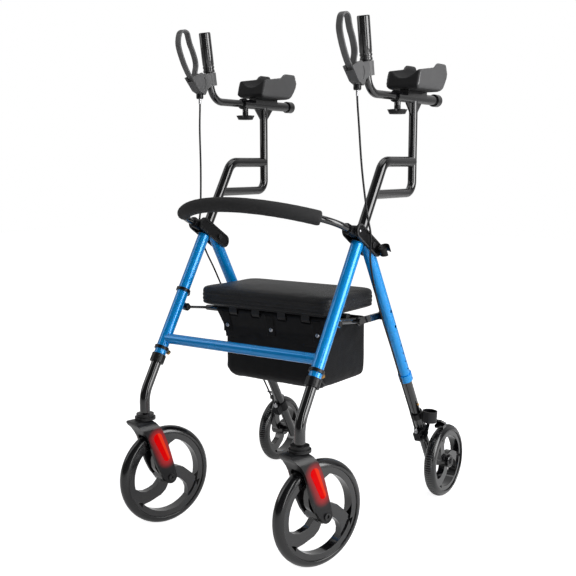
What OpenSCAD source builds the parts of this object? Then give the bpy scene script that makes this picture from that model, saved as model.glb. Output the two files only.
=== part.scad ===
// Folding upright walker: four wheels, seat, bag, backrest and raised forearm rests.
// Millimetres. +X is the walker's left-to-right, -Y is the way it travels, +Z is up.

/* [Stance] */
// Half the distance between the two side frames
half_track = 236; // [230:1:242]
// Lean of the front legs from upright, degrees
front_lean = 32; // [31:0.5:33]
// Lean of the rear legs from upright, degrees
rear_lean = 30; // [29:0.5:31]
// Caster stem, behind (+) or ahead (-) of the middle
stem_y = -331; // [-335:1:-327]
// Height at which the front leg turns upright
knee_z = 346; // [342:1:350]
// Rear axle, behind the middle
axle_y = 308; // [304:1:312]

/* [Telescoping tubes] */
// Outer radius of the blue legs
leg_r = 15; // [14.5:0.1:15.5]
// Wall of the blue legs
leg_wall = 2; // [1.6:0.1:2.4]
// Play between a leg and the tube in it
slide_gap = 0.3; // [0.3:0.05:0.5]
// Wall of the inner tubes
inner_wall = 1.6; // [1.2:0.1:2]

/* [Front legs] */
// Lower end of the blue tube, along the leg from the knee
leg_low = 96; // [92:1:100]
// Upper end of the blue tube, along the leg from the knee
leg_top = 476; // [472:1:480]
// Crossbar, along the leg from the knee
cross_s = 153; // [148:1:158]
// Crossbar radius
cross_r = 13; // [12:0.5:14]
// Seat pivot, along the leg from the knee
seat_s = 254; // [250:1:258]
// Seat pivot, behind the leg's axis
seat_reach = 27; // [26:0.5:28]
// Plastic collar radius
collar_r = 18; // [17.5:0.5:19]
// Plastic collar length
collar_h = 22; // [20:1:24]
// Part of the collar below the blue tube
collar_lip = 10; // [8:1:12]
// Lock pin, along the leg from the knee
pin_s = 125; // [123:1:127]
// Lock pin radius
pin_r = 3; // [2.5:0.1:3.5]
// Ring clip radius
clip_r = 18.5; // [17.5:0.5:19]
// Ring clip width
clip_w = 8; // [7:0.5:9]
// Spare ring clip of the left leg, along the leg from the knee
ring_s = 288; // [282:1:294]

/* [Front lower tubes] */
// Upper end inside the leg, along the leg from the knee
lower_top = 190; // [180:1:200]
// Bend radius at the knee
knee_bend = 80; // [70:1:90]
// Lower end of the stem tube above the floor
stem_end = 300; // [299:0.5:302]

/* [Casters] */
// Front wheel radius
front_wheel_r = 127; // [125:0.5:128]
// Front tyre width
tyre_w = 32; // [30:0.5:33]
// Distance of the axle behind the stem
trail = 52; // [50:0.5:54]
// Swivel of both casters as they stand, degrees
swivel = -16; // [-20:1:20]
// Underside of the head ring above the floor
crown_top = 283; // [282:0.5:284]
// Rounding of the fork's shoulders
fork_shoulder = 24; // [20:1:26]
// Full width of the fork
fork_w = 66; // [64:0.5:68]
// Room for the hub between the arms
fork_slot = 46; // [45:0.5:47]
// Radius of the arm's end around the axle
arm_end_r = 17; // [16:0.5:18]

/* [Rear legs] */
// Rear wheel radius
rear_wheel_r = 100; // [98:0.5:101]
// Rear wheel, outboard of the leg
rear_wheel_x = 44; // [43:0.5:45]
// Lower end of the blue tube, along the leg from the axle
rear_low = 300; // [294:1:306]
// Fold pivot, along the leg from the axle
pivot_s = 718; // [717:0.5:719]
// Rear link pivot, along the leg from the axle
link_s = 502; // [500:0.5:504]
// Upper end of the inner tube, along the leg from the axle
rear_inner_top = 420; // [400:1:430]

/* [Seat] */
// Half the seat's width
seat_half = 204; // [196:1:205]
// Front edge of the seat
seat_front = -168; // [-170:0.5:-164]
// Rear edge of the seat
seat_rear = 70; // [66:1:76]
// Underside of the cushion above the floor
seat_z = 555; // [554.5:0.5:556]
// Height of the cushion at its edge
cushion_h = 48; // [44:1:50]
// Rise of the cushion's middle over its edge
crown_h = 8; // [4:1:10]
// Seat hinge tube, along the walker
hinge_y = -118; // [-120:0.5:-116]
// Seat hinge tube above the floor
hinge_z = 541; // [540:0.5:541.5]
// Middle pivot of the folding links, along the walker
mid_y = -50; // [-51:0.5:-49]
// Middle pivot of the folding links above the floor
mid_z = 534; // [533:0.5:535]

/* [Bag] */
// Half the bag's width
bag_half = 150; // [145:1:155]
// Front of the bag
bag_front = -112; // [-114:0.5:-111]
// Rear of the bag
bag_rear = 96; // [86:1:98]
// Bottom of the bag above the floor
bag_low = 362; // [356:1:372]
// Rim of the bag above the floor
bag_rim = 522; // [518:0.5:523]

/* [Backrest] */
// Pad's ends, in from the side frames
back_inset = 30; // [28:0.5:33]
// Bow of the pad
back_sag = 83; // [80:0.5:86]
// Pad's ends, along the walker
back_y = -203; // [-205:0.5:-201]
// Pad's ends above the floor
back_z = 790; // [789:0.5:791]
// Slope of the bow, degrees
back_tilt = 21; // [20.5:0.1:21.5]
// Foam radius
foam_r = 18; // [16:0.5:20]
// Tube radius
back_r = 8; // [7.5:0.1:8.5]

/* [Posts] */
// Lower end inside the leg, along the leg from the knee
post_s = 300; // [294:1:310]
// Upper crossing of the loop above the floor
loop_top = 917; // [912:1:922]
// Lower crossing of the loop above the floor
loop_low = 839; // [835:1:843]
// Upright post, along the walker
post_y = 174; // [170:1:178]
// Upright post radius
post_r = 11; // [10.5:0.1:11.5]
// Forearm tube above the floor
arm_z = 1074.5; // [1070:0.5:1079]
// Front end of the forearm tube
arm_front = 76; // [72:1:80]
// Rear end of the forearm tube
arm_rear = 291; // [287:1:297]
// Forearm tube radius
arm_r = 12.5; // [12.3:0.1:13]

/* [Forearm rests] */
// Front of the pad
rest_front = 112; // [108:1:116]
// Length of the pad
rest_len = 159; // [154:1:164]
// Width of the pad
rest_w = 92; // [88:1:96]
// Height of the pad's sides
rest_h = 70; // [66:1:74]
// Radius of the trough
trough_r = 41; // [39:0.5:42]

/* [Handles] */
// Handle tube radius
handle_r = 9.5; // [9.3:0.1:9.6]
// Corner of the handle tube, along the walker
corner_y = -48.5; // [-52:0.5:-45]
// Forward tip of the grip, degrees
grip_tilt = 9.3; // [8:0.1:11]
// Bend radius of the handle tube
handle_bend = 45; // [42:1:48]
// Travel of the handle each way from rest
handle_stroke = 60; // [50:1:62]
// Lower end of the grip, from the corner
grip_low = 73; // [72:0.5:75]
// Length of the grip
grip_len = 100; // [95:1:105]
// Grip radius
grip_r = 15; // [14:0.5:16]
// Width of the brake lever
lever_w = 16; // [14:0.5:17]
// Lever pivot, along the walker
lever_y = -120; // [-121:0.5:-119]
// Lever pivot above the floor
lever_z = 1122; // [1121:0.5:1123]
// Cable radius
cable_r = 2.4; // [2:0.1:3]

/* [Cane holder] */
// Bore radius of the cup
cup_r = 17; // [15:0.5:18]
// Cup, along the rear leg from the axle
cup_s = 165; // [162:0.5:168]
// Outward lean of the cup, degrees
cup_lean = 4; // [3.5:0.1:4.5]
// Bore radius of the clip
cane_r = 11; // [10:0.25:11.5]

/* [Hidden] */
$fn = 64;
blue = "#0f86e0";
black = "#17181a";
dark = "#2b2c2e";
grey = "#3a3b3d";
steel = "#b9bcc0";
brass = "#b98a4a";
red = "#f01818";
// overrun of every cut, running fit of pins, play beside moving plates
over = 1;
run_gap = 0.06;
side_gap = 0.6;
// bends swell a little over their straight runs, which lap into them
bend_swell = 0.05;
lap = 0.5;
inner_r = leg_r - leg_wall - slide_gap;
bolt_r = 4;
bolt_head_r = 7;
bolt_head_h = 4;
axle_z = rear_wheel_r;

// brackets
plate_t = 5;
plate_r = 17;
plate_gap = leg_r + over;
plate_recess = 2;
recess_rim = 4;
sleeve_s = 450;
sleeve_h = 28;
sleeve_r = 18;
bracket_s = 467;
bracket_front = 32;
bracket_rear = 24;
socket_r = 12;
socket_len = 30;
pivot_over = 10;

// lugs, bolts and pins
lug_t = 6;
lug_r = 9;
eye_r = 10;
eye_t = 6;
clip_boss_r = 6;
clip_boss_h = 8;
pin_tip = 0.4;
pin_out = 9;
pin_head_r = 6;
pin_head_h = 7;

// caster
spindle_r = 6;
spindle_h = 31;
plug_h = 16;
ring_r = 26;
ring_h = 14;
ring_step = 4;
wheel_room = 5;
arch_r = 16;
arc_step = 15;
fork_front = [-20, -40, -40, -33, -24, -14, -8, -2, 6, 13, 21, 26, 36];
fork_front_shares = [1, 0.985, 0.95, 0.89, 0.84, 0.745, 0.667, 0.545, 0.353, 0.22, 0.108, 0.045, -0.04];
fork_rear = [60, 67, 66, 62, 58, 53, 48, 42.5, 37, 30.5, 24, 15.7, 6];
fork_rear_shares = [-0.04, 0, 0.096, 0.192, 0.288, 0.404, 0.513, 0.62, 0.71, 0.8, 0.872, 0.945, 1];
axle_r = 5;
axle_head_r = 8;
axle_head_h = 4;
lens_depth = 2;
lens_proud = 1;
lens_r1 = 12;
lens_r2 = 8.5;
lens_up = [16, 236];
lens_down = [40, 180];
front_hub_r = 20;
front_hub_w = 44;
rim_w = 26;
front_tyre_h = 18;
front_band = 15;
spoke_t = 18;
tyre_crown = 16;

// rear wheel and its stub axle
rear_hub_r = 18;
rear_hub_w = 40;
rear_tyre_h = 17;
rear_band = 12;
rear_turn = 20;
stub_r = 6;
shoulder_r = 9;
stub_nut_r = 8;
stub_nut_h = 4;
foot_below = 16;
hole_r = 3;
hole_s = [330, 356, 382, 408];
big_hole_r = 4;
big_hole_s = [470, 518];

// brake at the rear wheel
mount_s = 92;
mount_h = 26;
mount_r = 17;
block_y = 20;
block_l = 22;
block_w = 18;
shoe_pivot_y = -24;
shoe_pivot_s = 100;
shoe_pivot_r = 4;
shoe_ear_r = 8;
arm_in = 18;
arm_t = 5;
arm_w = 9;
shoe_gap = 3;
shoe_angle = 104;
shoe_half = 9;
shoe_h = 9;
shoe_w = 26;
elbow = [262, 224];

// seat links and hinge
rod_r = 7;
rod_x = 205;
rail_rear = -40;
rail_z = 533;
flat_t = 6;
flat_half = 11;
flat_neck = 8.5;
flat_x = 213;
base_t = 5;
base_in = 34;
knuckle_r = 12;
knuckle_w = 24;
knuckle_x = [40, 112];
foot_y = -80;
foot_w = 18;
sleeve_half = 168;
flare_h = 46;
strap_w = 28;
strap_t = 2;
bag_wall = 3;
bag_corner = 30;
bag_side_strap_y = -66;
seat_corner = 34;
cushion_pinch = 3;
cushion_seams = 3;
cushion_side_n = 12;
cushion_ring_n = 56;
cushion_top_shares = [0.92, 0.75, 0.5, 0.25];
edge_round = 12;

// posts, handles and rests
post_bend = 40;
foot_bend = 30;
arm_bore_r = handle_r + slide_gap;
cap_r = 16;
cap_l = 14;
mouth_r = 14.5;
mouth_l = 14;
gusset_t = 4;
gusset_l = 40;
gusset_h = 43;
saddle_w = 24;
saddle_l = 100;
saddle_h = 5;
boss_r = 8;
boss_h = 8;
knob_y = 91;
knob_r = 25;
knob_t = 11;
knob_lobes = 6;
knob_lobe_r = 7;
knob_stem_r = 5;
knob_stem_h = 10;
knob_drop = 13;
rest_corner = 15;
rest_length_shares = [0.1, 0.03, 0, 0.04, 0.075, 0.1, 0.55, 0.62, 0.68, 0.9, 0.935, 0.955, 1, 0.985,
                      0.84, 0.8];
rest_height_shares = [0, 0.05, 0.14, 0.45, 0.66, 0.685, 0.82, 0.95, 1, 1, 0.98, 0.93, 0.66, 0.5, 0.03, 0];
clamp_r = 17;
clamp_low = 39.5;
clamp_h = 32.5;
cheek_w = 26;
lever_slot = 18;
lever_hub_r = 10;
band_t = 5;
band_steps = 4;
slot_tilt = 14;
slot_front = 50;
slot_rear = 24;
slot_h = 40;
housing_top = [[-142.6, 1128], [-103.4, 1143], [-96, 1139.5]];
housing_low = [[-80.6, 1103.7], [-90.6, 1088.3], [-113.5, 1097]];
almond_at = [-95, 1117];
almond_r = 21;
almond_off = 14;
almond_depth = 1.5;
nose_r = 8;
nose_h = 16;
nose_at = [-99, 1094];

// cane holder
cup_wall = 3;
cup_h = 30;
cup_floor = 3;
cup_x = 39;
band_r = 17;
band_h = 18;
web_w = 10;
cane_wall = 3;
cane_h = 20;
cane_mouth = 15;
cane_foot = 7;

function leg_pt(s, off = 0) = [stem_y + s * sin(front_lean) + off * cos(front_lean),
                               knee_z + s * cos(front_lean) - off * sin(front_lean)];
function rear_pt(s, off = 0) = [axle_y - s * sin(rear_lean) + off * cos(rear_lean),
                                axle_z + s * cos(rear_lean) + off * sin(rear_lean)];
function leg_at(z) = (z - knee_z) / cos(front_lean);
function toward(p, q) = (q - p) / norm(q - p);

seat_pivot = leg_pt(seat_s, seat_reach);
fold_pivot = rear_pt(pivot_s);
link_pivot = rear_pt(link_s);
bracket_pin = leg_pt(bracket_s);
bracket_dir = toward(bracket_pin, fold_pivot);
bracket_a = bracket_pin - bracket_front * bracket_dir;
bracket_b = fold_pivot + bracket_rear * bracket_dir;
brake_pivot = rear_pt(shoe_pivot_s, shoe_pivot_y);
eye_x = half_track - lug_t / 2 - side_gap - eye_t;

// frames along the legs: local +Z runs up the leg, local +Y is its rear side
module on_leg(s) {
  p = leg_pt(s);
  translate([half_track, p[0], p[1]]) rotate([-front_lean, 0, 0]) children();
}

module on_rear(s) {
  p = rear_pt(s);
  translate([half_track, p[0], p[1]]) rotate([rear_lean, 0, 0]) children();
}

// side view: drawing X is the walker's Y, drawing Y its Z, height its X
module side(x = 0) translate([x, 0, 0]) rotate([90, 0, 90]) children();

module left() mirror([1, 0, 0]) children();

module bar(p, q, r) {
  v = q - p;
  translate(p) rotate([0, acos(v[2] / norm(v)), atan2(v[1], v[0])]) cylinder(h = norm(v), r = r);
}

module stadium(p, q, r) {
  translate(p) circle(r);
  translate(q) circle(r);
  translate(p) rotate(atan2(q[1] - p[1], q[0] - p[0])) translate([0, -r]) square([norm(q - p), 2 * r]);
}

// a bar with a round eye at each end, wider than the bar
module eye_bar(p, q, r, half) {
  translate(p) circle(r);
  translate(q) circle(r);
  translate(p) rotate(atan2(q[1] - p[1], q[0] - p[0])) translate([0, -half]) square([norm(q - p), 2 * half]);
}

// two circles of different size joined by their tangents
module taper(p, q, r1, r2) {
  d = atan2(q[1] - p[1], q[0] - p[0]);
  b = acos((r1 - r2) / norm(q - p));
  e1 = [cos(d + b), sin(d + b)];
  e2 = [cos(d - b), sin(d - b)];
  translate(p) circle(r1);
  translate(q) circle(r2);
  polygon([p + r1 * e1, q + r2 * e1, q + r2 * e2, p + r1 * e2]);
}

// arc of a round tube in the side view
module side_arc(c, bend, from, turn, r)
  side(half_track) translate([c[0], c[1], 0]) rotate([0, 0, from])
    rotate_extrude(angle = turn) translate([bend, 0]) circle(r + bend_swell);

// front frame

module front_leg() {
  color(blue) difference() {
    union() {
      on_leg(leg_low) cylinder(h = leg_top - leg_low, r = leg_r);
      on_leg(seat_s) {
        translate([-lug_t / 2, 0, -lug_r]) cube([lug_t, seat_reach, 2 * lug_r]);
        translate([-lug_t / 2, seat_reach, 0]) rotate([0, 90, 0]) cylinder(h = lug_t, r = lug_r);
      }
    }
    on_leg(leg_low - over) cylinder(h = leg_top - leg_low + 2 * over, r = leg_r - leg_wall);
    on_leg(pin_s) rotate([-90, 0, 0]) cylinder(h = leg_r + over, r = pin_r + run_gap);
    on_leg(seat_s) translate([-lug_t, seat_reach, 0]) rotate([0, 90, 0])
      cylinder(h = 2 * lug_t, r = bolt_r);
  }
}

module crossbar() {
  p = leg_pt(cross_s);
  color(blue) difference() {
    translate([-half_track, p[0], p[1]]) rotate([0, 90, 0]) cylinder(h = 2 * half_track, r = cross_r);
    translate([-half_track, p[0], p[1]]) rotate([0, 90, 0])
      cylinder(h = 2 * half_track, r = cross_r - leg_wall);
    for (m = [0, 1]) mirror([m, 0, 0]) on_leg(leg_low) cylinder(h = leg_top - leg_low, r = leg_r);
  }
}

module front_collar() {
  color(black) on_leg(leg_low) difference() {
    translate([0, 0, -collar_lip]) cylinder(h = collar_h, r = collar_r);
    cylinder(h = collar_h, r = leg_r);
    translate([0, 0, -collar_lip - over]) cylinder(h = collar_h + over, r = inner_r + slide_gap);
  }
}

module ring_clip(s) {
  color(black) on_leg(s) difference() {
    union() {
      translate([0, 0, -clip_w / 2]) cylinder(h = clip_w, r = clip_r);
      rotate([-90, 0, 0]) cylinder(h = leg_r + clip_boss_h, r = clip_boss_r);
    }
    translate([0, 0, -clip_w]) cylinder(h = 2 * clip_w, r = leg_r);
    rotate([-90, 0, 0]) cylinder(h = leg_r + clip_boss_h + over, r = pin_r + run_gap);
  }
}

module leg_clips() {
  ring_clip(pin_s);
  left() ring_clip(pin_s);
  left() ring_clip(ring_s);
}

module front_pin() {
  color(brass) on_leg(pin_s) rotate([-90, 0, 0]) {
    translate([0, 0, inner_r + pin_tip]) cylinder(h = leg_r + pin_out - inner_r - pin_tip, r = pin_r);
    translate([0, 0, leg_r + pin_out]) cylinder(h = pin_head_h, r = pin_head_r);
  }
}

// backrest: a bow in a sloping plane, its ends plugged into the brackets
back_half = half_track - back_inset;
back_bend_r = (back_half * back_half + back_sag * back_sag) / (2 * back_sag);
back_turn = asin(back_half / back_bend_r);
back_elbow = (half_track - back_half) / (1 - sin(back_turn));

module in_back() translate([0, back_y, back_z]) rotate([-back_tilt, 0, 0]) children();

module back_bow(r) {
  turn = back_turn + atan(lap / back_bend_r);
  translate([0, back_bend_r - back_sag, 0]) rotate([0, 0, -90 - turn])
    rotate_extrude(angle = 2 * turn) translate([back_bend_r, 0]) circle(r);
}

module back_end(r) {
  translate([half_track - back_elbow, back_elbow * cos(back_turn), 0]) rotate([0, 0, back_turn - 90])
    rotate_extrude(angle = 90 - back_turn) translate([back_elbow, 0]) circle(r + bend_swell);
  translate([half_track, back_elbow * cos(back_turn) - lap, 0]) rotate([-90, 0, 0])
    cylinder(h = socket_len + lap, r = r);
}

module backrest_tube() {
  color(black) in_back() {
    back_bow(back_r);
    for (m = [0, 1]) mirror([m, 0, 0]) back_end(back_r);
  }
}

module backrest_pad() {
  color(dark) in_back() translate([0, back_bend_r - back_sag, 0]) rotate([0, 0, -90 - back_turn])
    rotate_extrude(angle = 2 * back_turn) translate([back_bend_r, 0]) difference() {
      circle(foam_r);
      circle(back_r);
    }
}

// bracket: two plates that hold the leg, the backrest's end and the fold pivot
module bracket_face(r) stadium(bracket_a, bracket_b, r);

module bracket() {
  color(dark) difference() {
    union() {
      for (x = [plate_gap, -plate_gap - plate_t])
        side(half_track + x) linear_extrude(plate_t) bracket_face(plate_r);
      on_leg(sleeve_s) cylinder(h = sleeve_h, r = sleeve_r);
      side(half_track - plate_gap) linear_extrude(2 * plate_gap) translate(bracket_a) circle(socket_r);
      in_back() translate([half_track, back_elbow * cos(back_turn) + side_gap, 0]) rotate([-90, 0, 0])
        cylinder(h = socket_len, r = socket_r);
    }
    for (x = [plate_gap + plate_t - plate_recess, -plate_gap - plate_t - over])
      side(half_track + x) linear_extrude(plate_recess + over) bracket_face(plate_r - recess_rim);
    on_leg(leg_low) cylinder(h = leg_top + leg_low, r = leg_r);
    in_back() translate([half_track, 0, 0]) rotate([-90, 0, 0])
      cylinder(h = back_elbow * cos(back_turn) + socket_len, r = back_r);
    side(half_track - 2 * plate_gap) translate([fold_pivot[0], fold_pivot[1], 0])
      cylinder(h = 4 * plate_gap, r = bolt_r);
  }
}

module pivot_bolt(p, x1, x2) side(x1) translate([p[0], p[1], 0]) {
  cylinder(h = x2 - x1, r = bolt_r);
  translate([0, 0, -bolt_head_h]) cylinder(h = bolt_head_h, r = bolt_head_r);
}

module pivot_bolts() {
  reach = plate_gap + plate_t - plate_recess;
  color(steel) for (m = [0, 1]) mirror([m, 0, 0]) {
    pivot_bolt(fold_pivot, half_track - reach, half_track + reach);
    left() pivot_bolt(fold_pivot, -half_track - reach, -half_track);
    pivot_bolt(seat_pivot, eye_x - side_gap, half_track + lug_t / 2);
    left() pivot_bolt(seat_pivot, -half_track - lug_t / 2, -half_track);
  }
}

module cane_clip() {
  base = half_track + plate_gap + plate_t - plate_recess;
  r = cane_r + cane_wall;
  color(black) translate([base + cane_foot + r - cane_wall / 2, bracket_b[0], bracket_b[1]])
    rotate([rear_lean, 0, 0]) difference() {
      union() {
        translate([0, 0, -cane_h / 2]) cylinder(h = cane_h, r = r);
        translate([cane_wall / 2 - r - cane_foot, -cane_foot, -cane_foot])
          cube([r + cane_foot, 2 * cane_foot, 2 * cane_foot]);
      }
      translate([0, 0, -cane_h]) cylinder(h = 2 * cane_h, r = cane_r);
      translate([0, -cane_mouth / 2, -cane_h]) cube([2 * r, cane_mouth, 2 * cane_h]);
    }
}

// front lower tubes and casters

knee_cut = knee_bend * tan(front_lean / 2);

module knee_path(r, top, foot) {
  on_leg(knee_cut - lap) cylinder(h = top - knee_cut + lap, r = r);
  side_arc([stem_y + knee_bend, knee_z - knee_cut], knee_bend, 180 - front_lean, front_lean, r);
  translate([half_track, stem_y, foot]) cylinder(h = knee_z - knee_cut - foot + lap, r = r);
}

module front_lower() {
  color(black) difference() {
    knee_path(inner_r, lower_top, stem_end);
    knee_path(inner_r - inner_wall, lower_top + over, stem_end + plug_h);
    translate([half_track, stem_y, stem_end - over]) cylinder(h = plug_h + 2 * over, r = spindle_r + run_gap);
  }
}

module at_caster(m) translate([m * half_track, stem_y, 0]) rotate([0, 0, swivel]) children();

module at_front_axle(m) at_caster(m) translate([0, trail, front_wheel_r]) rotate([0, 90, 0]) children();

function fork_pts(ys, shares) = [for (i = [0 : len(ys) - 1])
    [ys[i], front_wheel_r + shares[i] * (crown_top - front_wheel_r)]];

module fork_side() {
  translate([trail, front_wheel_r]) circle(arm_end_r);
  polygon(concat(fork_pts(fork_front, fork_front_shares), fork_pts(fork_rear, fork_rear_shares)));
}

// front view of the strap, and the room for the wheel turned about the axle
module fork_face() {
  w = fork_w / 2;
  c = w - fork_shoulder;
  polygon(concat([[-w, 0], [w, 0]],
    [for (a = [0 : arc_step : 90]) [c, crown_top - fork_shoulder] + fork_shoulder * [cos(a), sin(a)]],
    [for (a = [90 : arc_step : 180]) [-c, crown_top - fork_shoulder] + fork_shoulder * [cos(a), sin(a)]]));
}

module wheel_space() {
  w = fork_slot / 2;
  c = [front_wheel_r + wheel_room - arch_r, w - arch_r];
  rotate_extrude($fn = 128) polygon(concat([[0, w]],
    [for (a = [90 : -arc_step : 0]) c + arch_r * [cos(a), sin(a)]],
    [for (a = [0 : -arc_step : -90]) [c[0], -c[1]] + arch_r * [cos(a), sin(a)]], [[0, -w]]));
}

module lens_face() taper(lens_up, lens_down, lens_r1, lens_r2);

module fork(m) {
  color(black) at_caster(m) {
    difference() {
      intersection() {
        side(-fork_w / 2) linear_extrude(fork_w) fork_side();
        translate([0, 2 * trail, 0]) rotate([90, 0, 0]) linear_extrude(4 * trail) fork_face();
      }
      translate([0, trail, front_wheel_r]) rotate([0, 90, 0]) wheel_space();
      translate([-fork_w, trail, front_wheel_r]) rotate([0, 90, 0]) cylinder(h = 2 * fork_w, r = axle_r);
      side(fork_w / 2 - lens_depth) linear_extrude(fork_w) lens_face();
      side(lens_depth - fork_w / 2 - fork_w) linear_extrude(fork_w) lens_face();
    }
    translate([0, 0, crown_top]) cylinder(h = ring_h, r = ring_r - ring_step);
    translate([0, 0, crown_top - over]) cylinder(h = ring_h / 2, r = ring_r);
    translate([0, 0, crown_top]) cylinder(h = spindle_h, r = spindle_r);
  }
}

module fork_lens(m) {
  color(red) at_caster(m) {
    side(fork_w / 2 - lens_depth) linear_extrude(lens_depth + lens_proud) lens_face();
    side(-fork_w / 2 - lens_proud) linear_extrude(lens_depth + lens_proud) lens_face();
  }
}

module front_axle(m) {
  color(steel) at_front_axle(m) {
    translate([0, 0, -fork_w / 2]) cylinder(h = fork_w, r = axle_r);
    for (z = [-fork_w / 2 - axle_head_h, fork_w / 2])
      translate([0, 0, z]) cylinder(h = axle_head_h, r = axle_head_r);
  }
}

// wheel body around its own axis: hub, band and three swept arms, each with a small window by the band
trail_shares = [0.16, 0.32, 0.42, 0.565, 0.74, 0.87, 0.99, 1.05];
trail_turns = [-40, -26, -23, -27, -32, -39, -48, -64];
lead_shares = [1.05, 1.05, 1.05, 1.05, 0.965, 0.84, 0.71, 0.565, 0.42, 0.32, 0.16];
lead_turns = [-53, -42, -30, -18, -15, -9, -2, 11, 25, 34, 60];
window_shares = [0.985, 1.09, 1.09];
window_turns = [-21, -28, -17];
arm_turns = [0, 120, 240];

function polar(r, shares, turns) = [for (i = [0 : len(shares) - 1])
    r * shares[i] * [cos(turns[i]), sin(turns[i])]];

module wheel_body(hub_r, hub_w, band_in, band_out, bore) {
  difference() {
    union() {
      translate([0, 0, -hub_w / 2]) cylinder(h = hub_w, r = hub_r);
      translate([0, 0, -rim_w / 2]) difference() {
        cylinder(h = rim_w, r = band_out);
        translate([0, 0, -over]) cylinder(h = rim_w + 2 * over, r = band_in);
      }
      for (a = arm_turns) rotate([0, 0, a]) translate([0, 0, -spoke_t / 2]) linear_extrude(spoke_t)
        polygon(concat(polar(band_in, trail_shares, trail_turns), polar(band_in, lead_shares, lead_turns)));
    }
    translate([0, 0, -hub_w]) cylinder(h = 2 * hub_w, r = bore);
    for (a = arm_turns) rotate([0, 0, a]) translate([0, 0, -rim_w]) linear_extrude(2 * rim_w)
      polygon(polar(band_in, window_shares, window_turns));
  }
}

module tyre_body(inner, outer) rotate_extrude($fn = 128) intersection() {
  translate([outer - tyre_crown, 0]) circle(tyre_crown);
  translate([inner, -tyre_w / 2]) square([outer, tyre_w]);
}

front_tyre_in = front_wheel_r - front_tyre_h;
rear_tyre_in = rear_wheel_r - rear_tyre_h;

module front_rim(m) color(black) at_front_axle(m) rotate([0, 0, 90])
  wheel_body(front_hub_r, front_hub_w, front_tyre_in - front_band, front_tyre_in, axle_r + run_gap);

module front_tyre(m) color(dark) at_front_axle(m) tyre_body(front_tyre_in, front_wheel_r);

// rear legs, wheels and brakes

module rear_leg() {
  color(blue) difference() {
    union() {
      on_rear(rear_low) cylinder(h = pivot_s + pivot_over - rear_low, r = leg_r);
      on_rear(rear_low - collar_lip) cylinder(h = collar_h, r = collar_r);
      pivot_bolt(link_pivot, flat_x - side_gap, half_track);
    }
    on_rear(rear_low - collar_lip - over) cylinder(h = pivot_s, r = leg_r - leg_wall);
    on_rear(pivot_s) rotate([0, 90, 0]) translate([0, 0, -2 * leg_r])
      cylinder(h = 4 * leg_r, r = bolt_r + run_gap);
    for (s = hole_s) on_rear(s) rotate([0, 90, 0]) cylinder(h = 2 * leg_r, r = hole_r);
    for (s = big_hole_s) on_rear(s) rotate([0, 90, 0]) cylinder(h = 2 * leg_r, r = big_hole_r);
  }
}

module rear_lower() {
  color(black) difference() {
    union() {
      on_rear(-foot_below) cylinder(h = rear_inner_top + foot_below, r = inner_r);
      side(half_track) translate([axle_y, axle_z, 0]) {
        cylinder(h = rear_wheel_x - rear_hub_w / 2 - side_gap, r = shoulder_r);
        cylinder(h = rear_wheel_x + rear_hub_w / 2 + side_gap, r = stub_r);
        translate([0, 0, rear_wheel_x + rear_hub_w / 2 + side_gap])
          cylinder(h = stub_nut_h, r = stub_nut_r);
      }
    }
    on_rear(shoulder_r) cylinder(h = rear_inner_top, r = inner_r - inner_wall);
  }
}

module at_rear_wheel() side(half_track + rear_wheel_x) translate([axle_y, axle_z, 0]) children();

module rear_rim() color(black) at_rear_wheel() rotate([0, 0, rear_turn])
  wheel_body(rear_hub_r, rear_hub_w, rear_tyre_in - rear_band, rear_tyre_in, stub_r + run_gap);

module rear_tyre() color(dark) at_rear_wheel() tyre_body(rear_tyre_in, rear_wheel_r);

module brake_mount() {
  color(dark) difference() {
    union() {
      on_rear(mount_s) cylinder(h = mount_h, r = mount_r);
      on_rear(mount_s) translate([-block_w / 2, -block_y - block_l / 2, 0])
        cube([block_w, block_y, mount_h]);
      side(half_track) translate([brake_pivot[0], brake_pivot[1], 0])
        cylinder(h = arm_in + arm_t + side_gap + bolt_head_h / 2, r = shoe_pivot_r);
      side(half_track) translate([brake_pivot[0], brake_pivot[1], 0])
        cylinder(h = arm_in - side_gap, r = shoe_ear_r);
    }
    on_rear(mount_s - over) cylinder(h = mount_h + 2 * over, r = inner_r);
    on_rear(mount_s - over) translate([0, -block_y - block_l / 4, 0])
      cylinder(h = mount_h + 2 * over, r = cable_r + side_gap);
  }
}

module brake_arm() {
  x = half_track + arm_in;
  wheel = [axle_y, axle_z];
  shoe_dir = [cos(shoe_angle), sin(shoe_angle)];
  seat = wheel + (rear_wheel_r + shoe_gap) * shoe_dir;
  cross = [shoe_dir[1], -shoe_dir[0]];
  top = seat + shoe_h * shoe_dir;
  color(black) {
    difference() {
      side(x) linear_extrude(arm_t) {
        stadium(brake_pivot, elbow, arm_w / 2);
        translate(brake_pivot) circle(shoe_ear_r);
      }
      side(x - over) translate([brake_pivot[0], brake_pivot[1], 0])
        cylinder(h = arm_t + 2 * over, r = shoe_pivot_r + run_gap);
    }
    side(x) linear_extrude(half_track + rear_wheel_x + shoe_w / 2 - x)
      stadium(elbow, top + shoe_half * cross, arm_t / 2);
    side(half_track + rear_wheel_x - shoe_w / 2) linear_extrude(shoe_w)
      polygon([seat - shoe_half * cross, seat + shoe_half * cross, top + shoe_half * cross,
               top - shoe_half * cross]);
  }
}

module at_cup(h) translate([half_track + cup_x, rear_pt(cup_s)[0], rear_pt(cup_s)[1]])
  rotate([0, cup_lean, 0]) translate([0, 0, h]) children();

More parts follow.
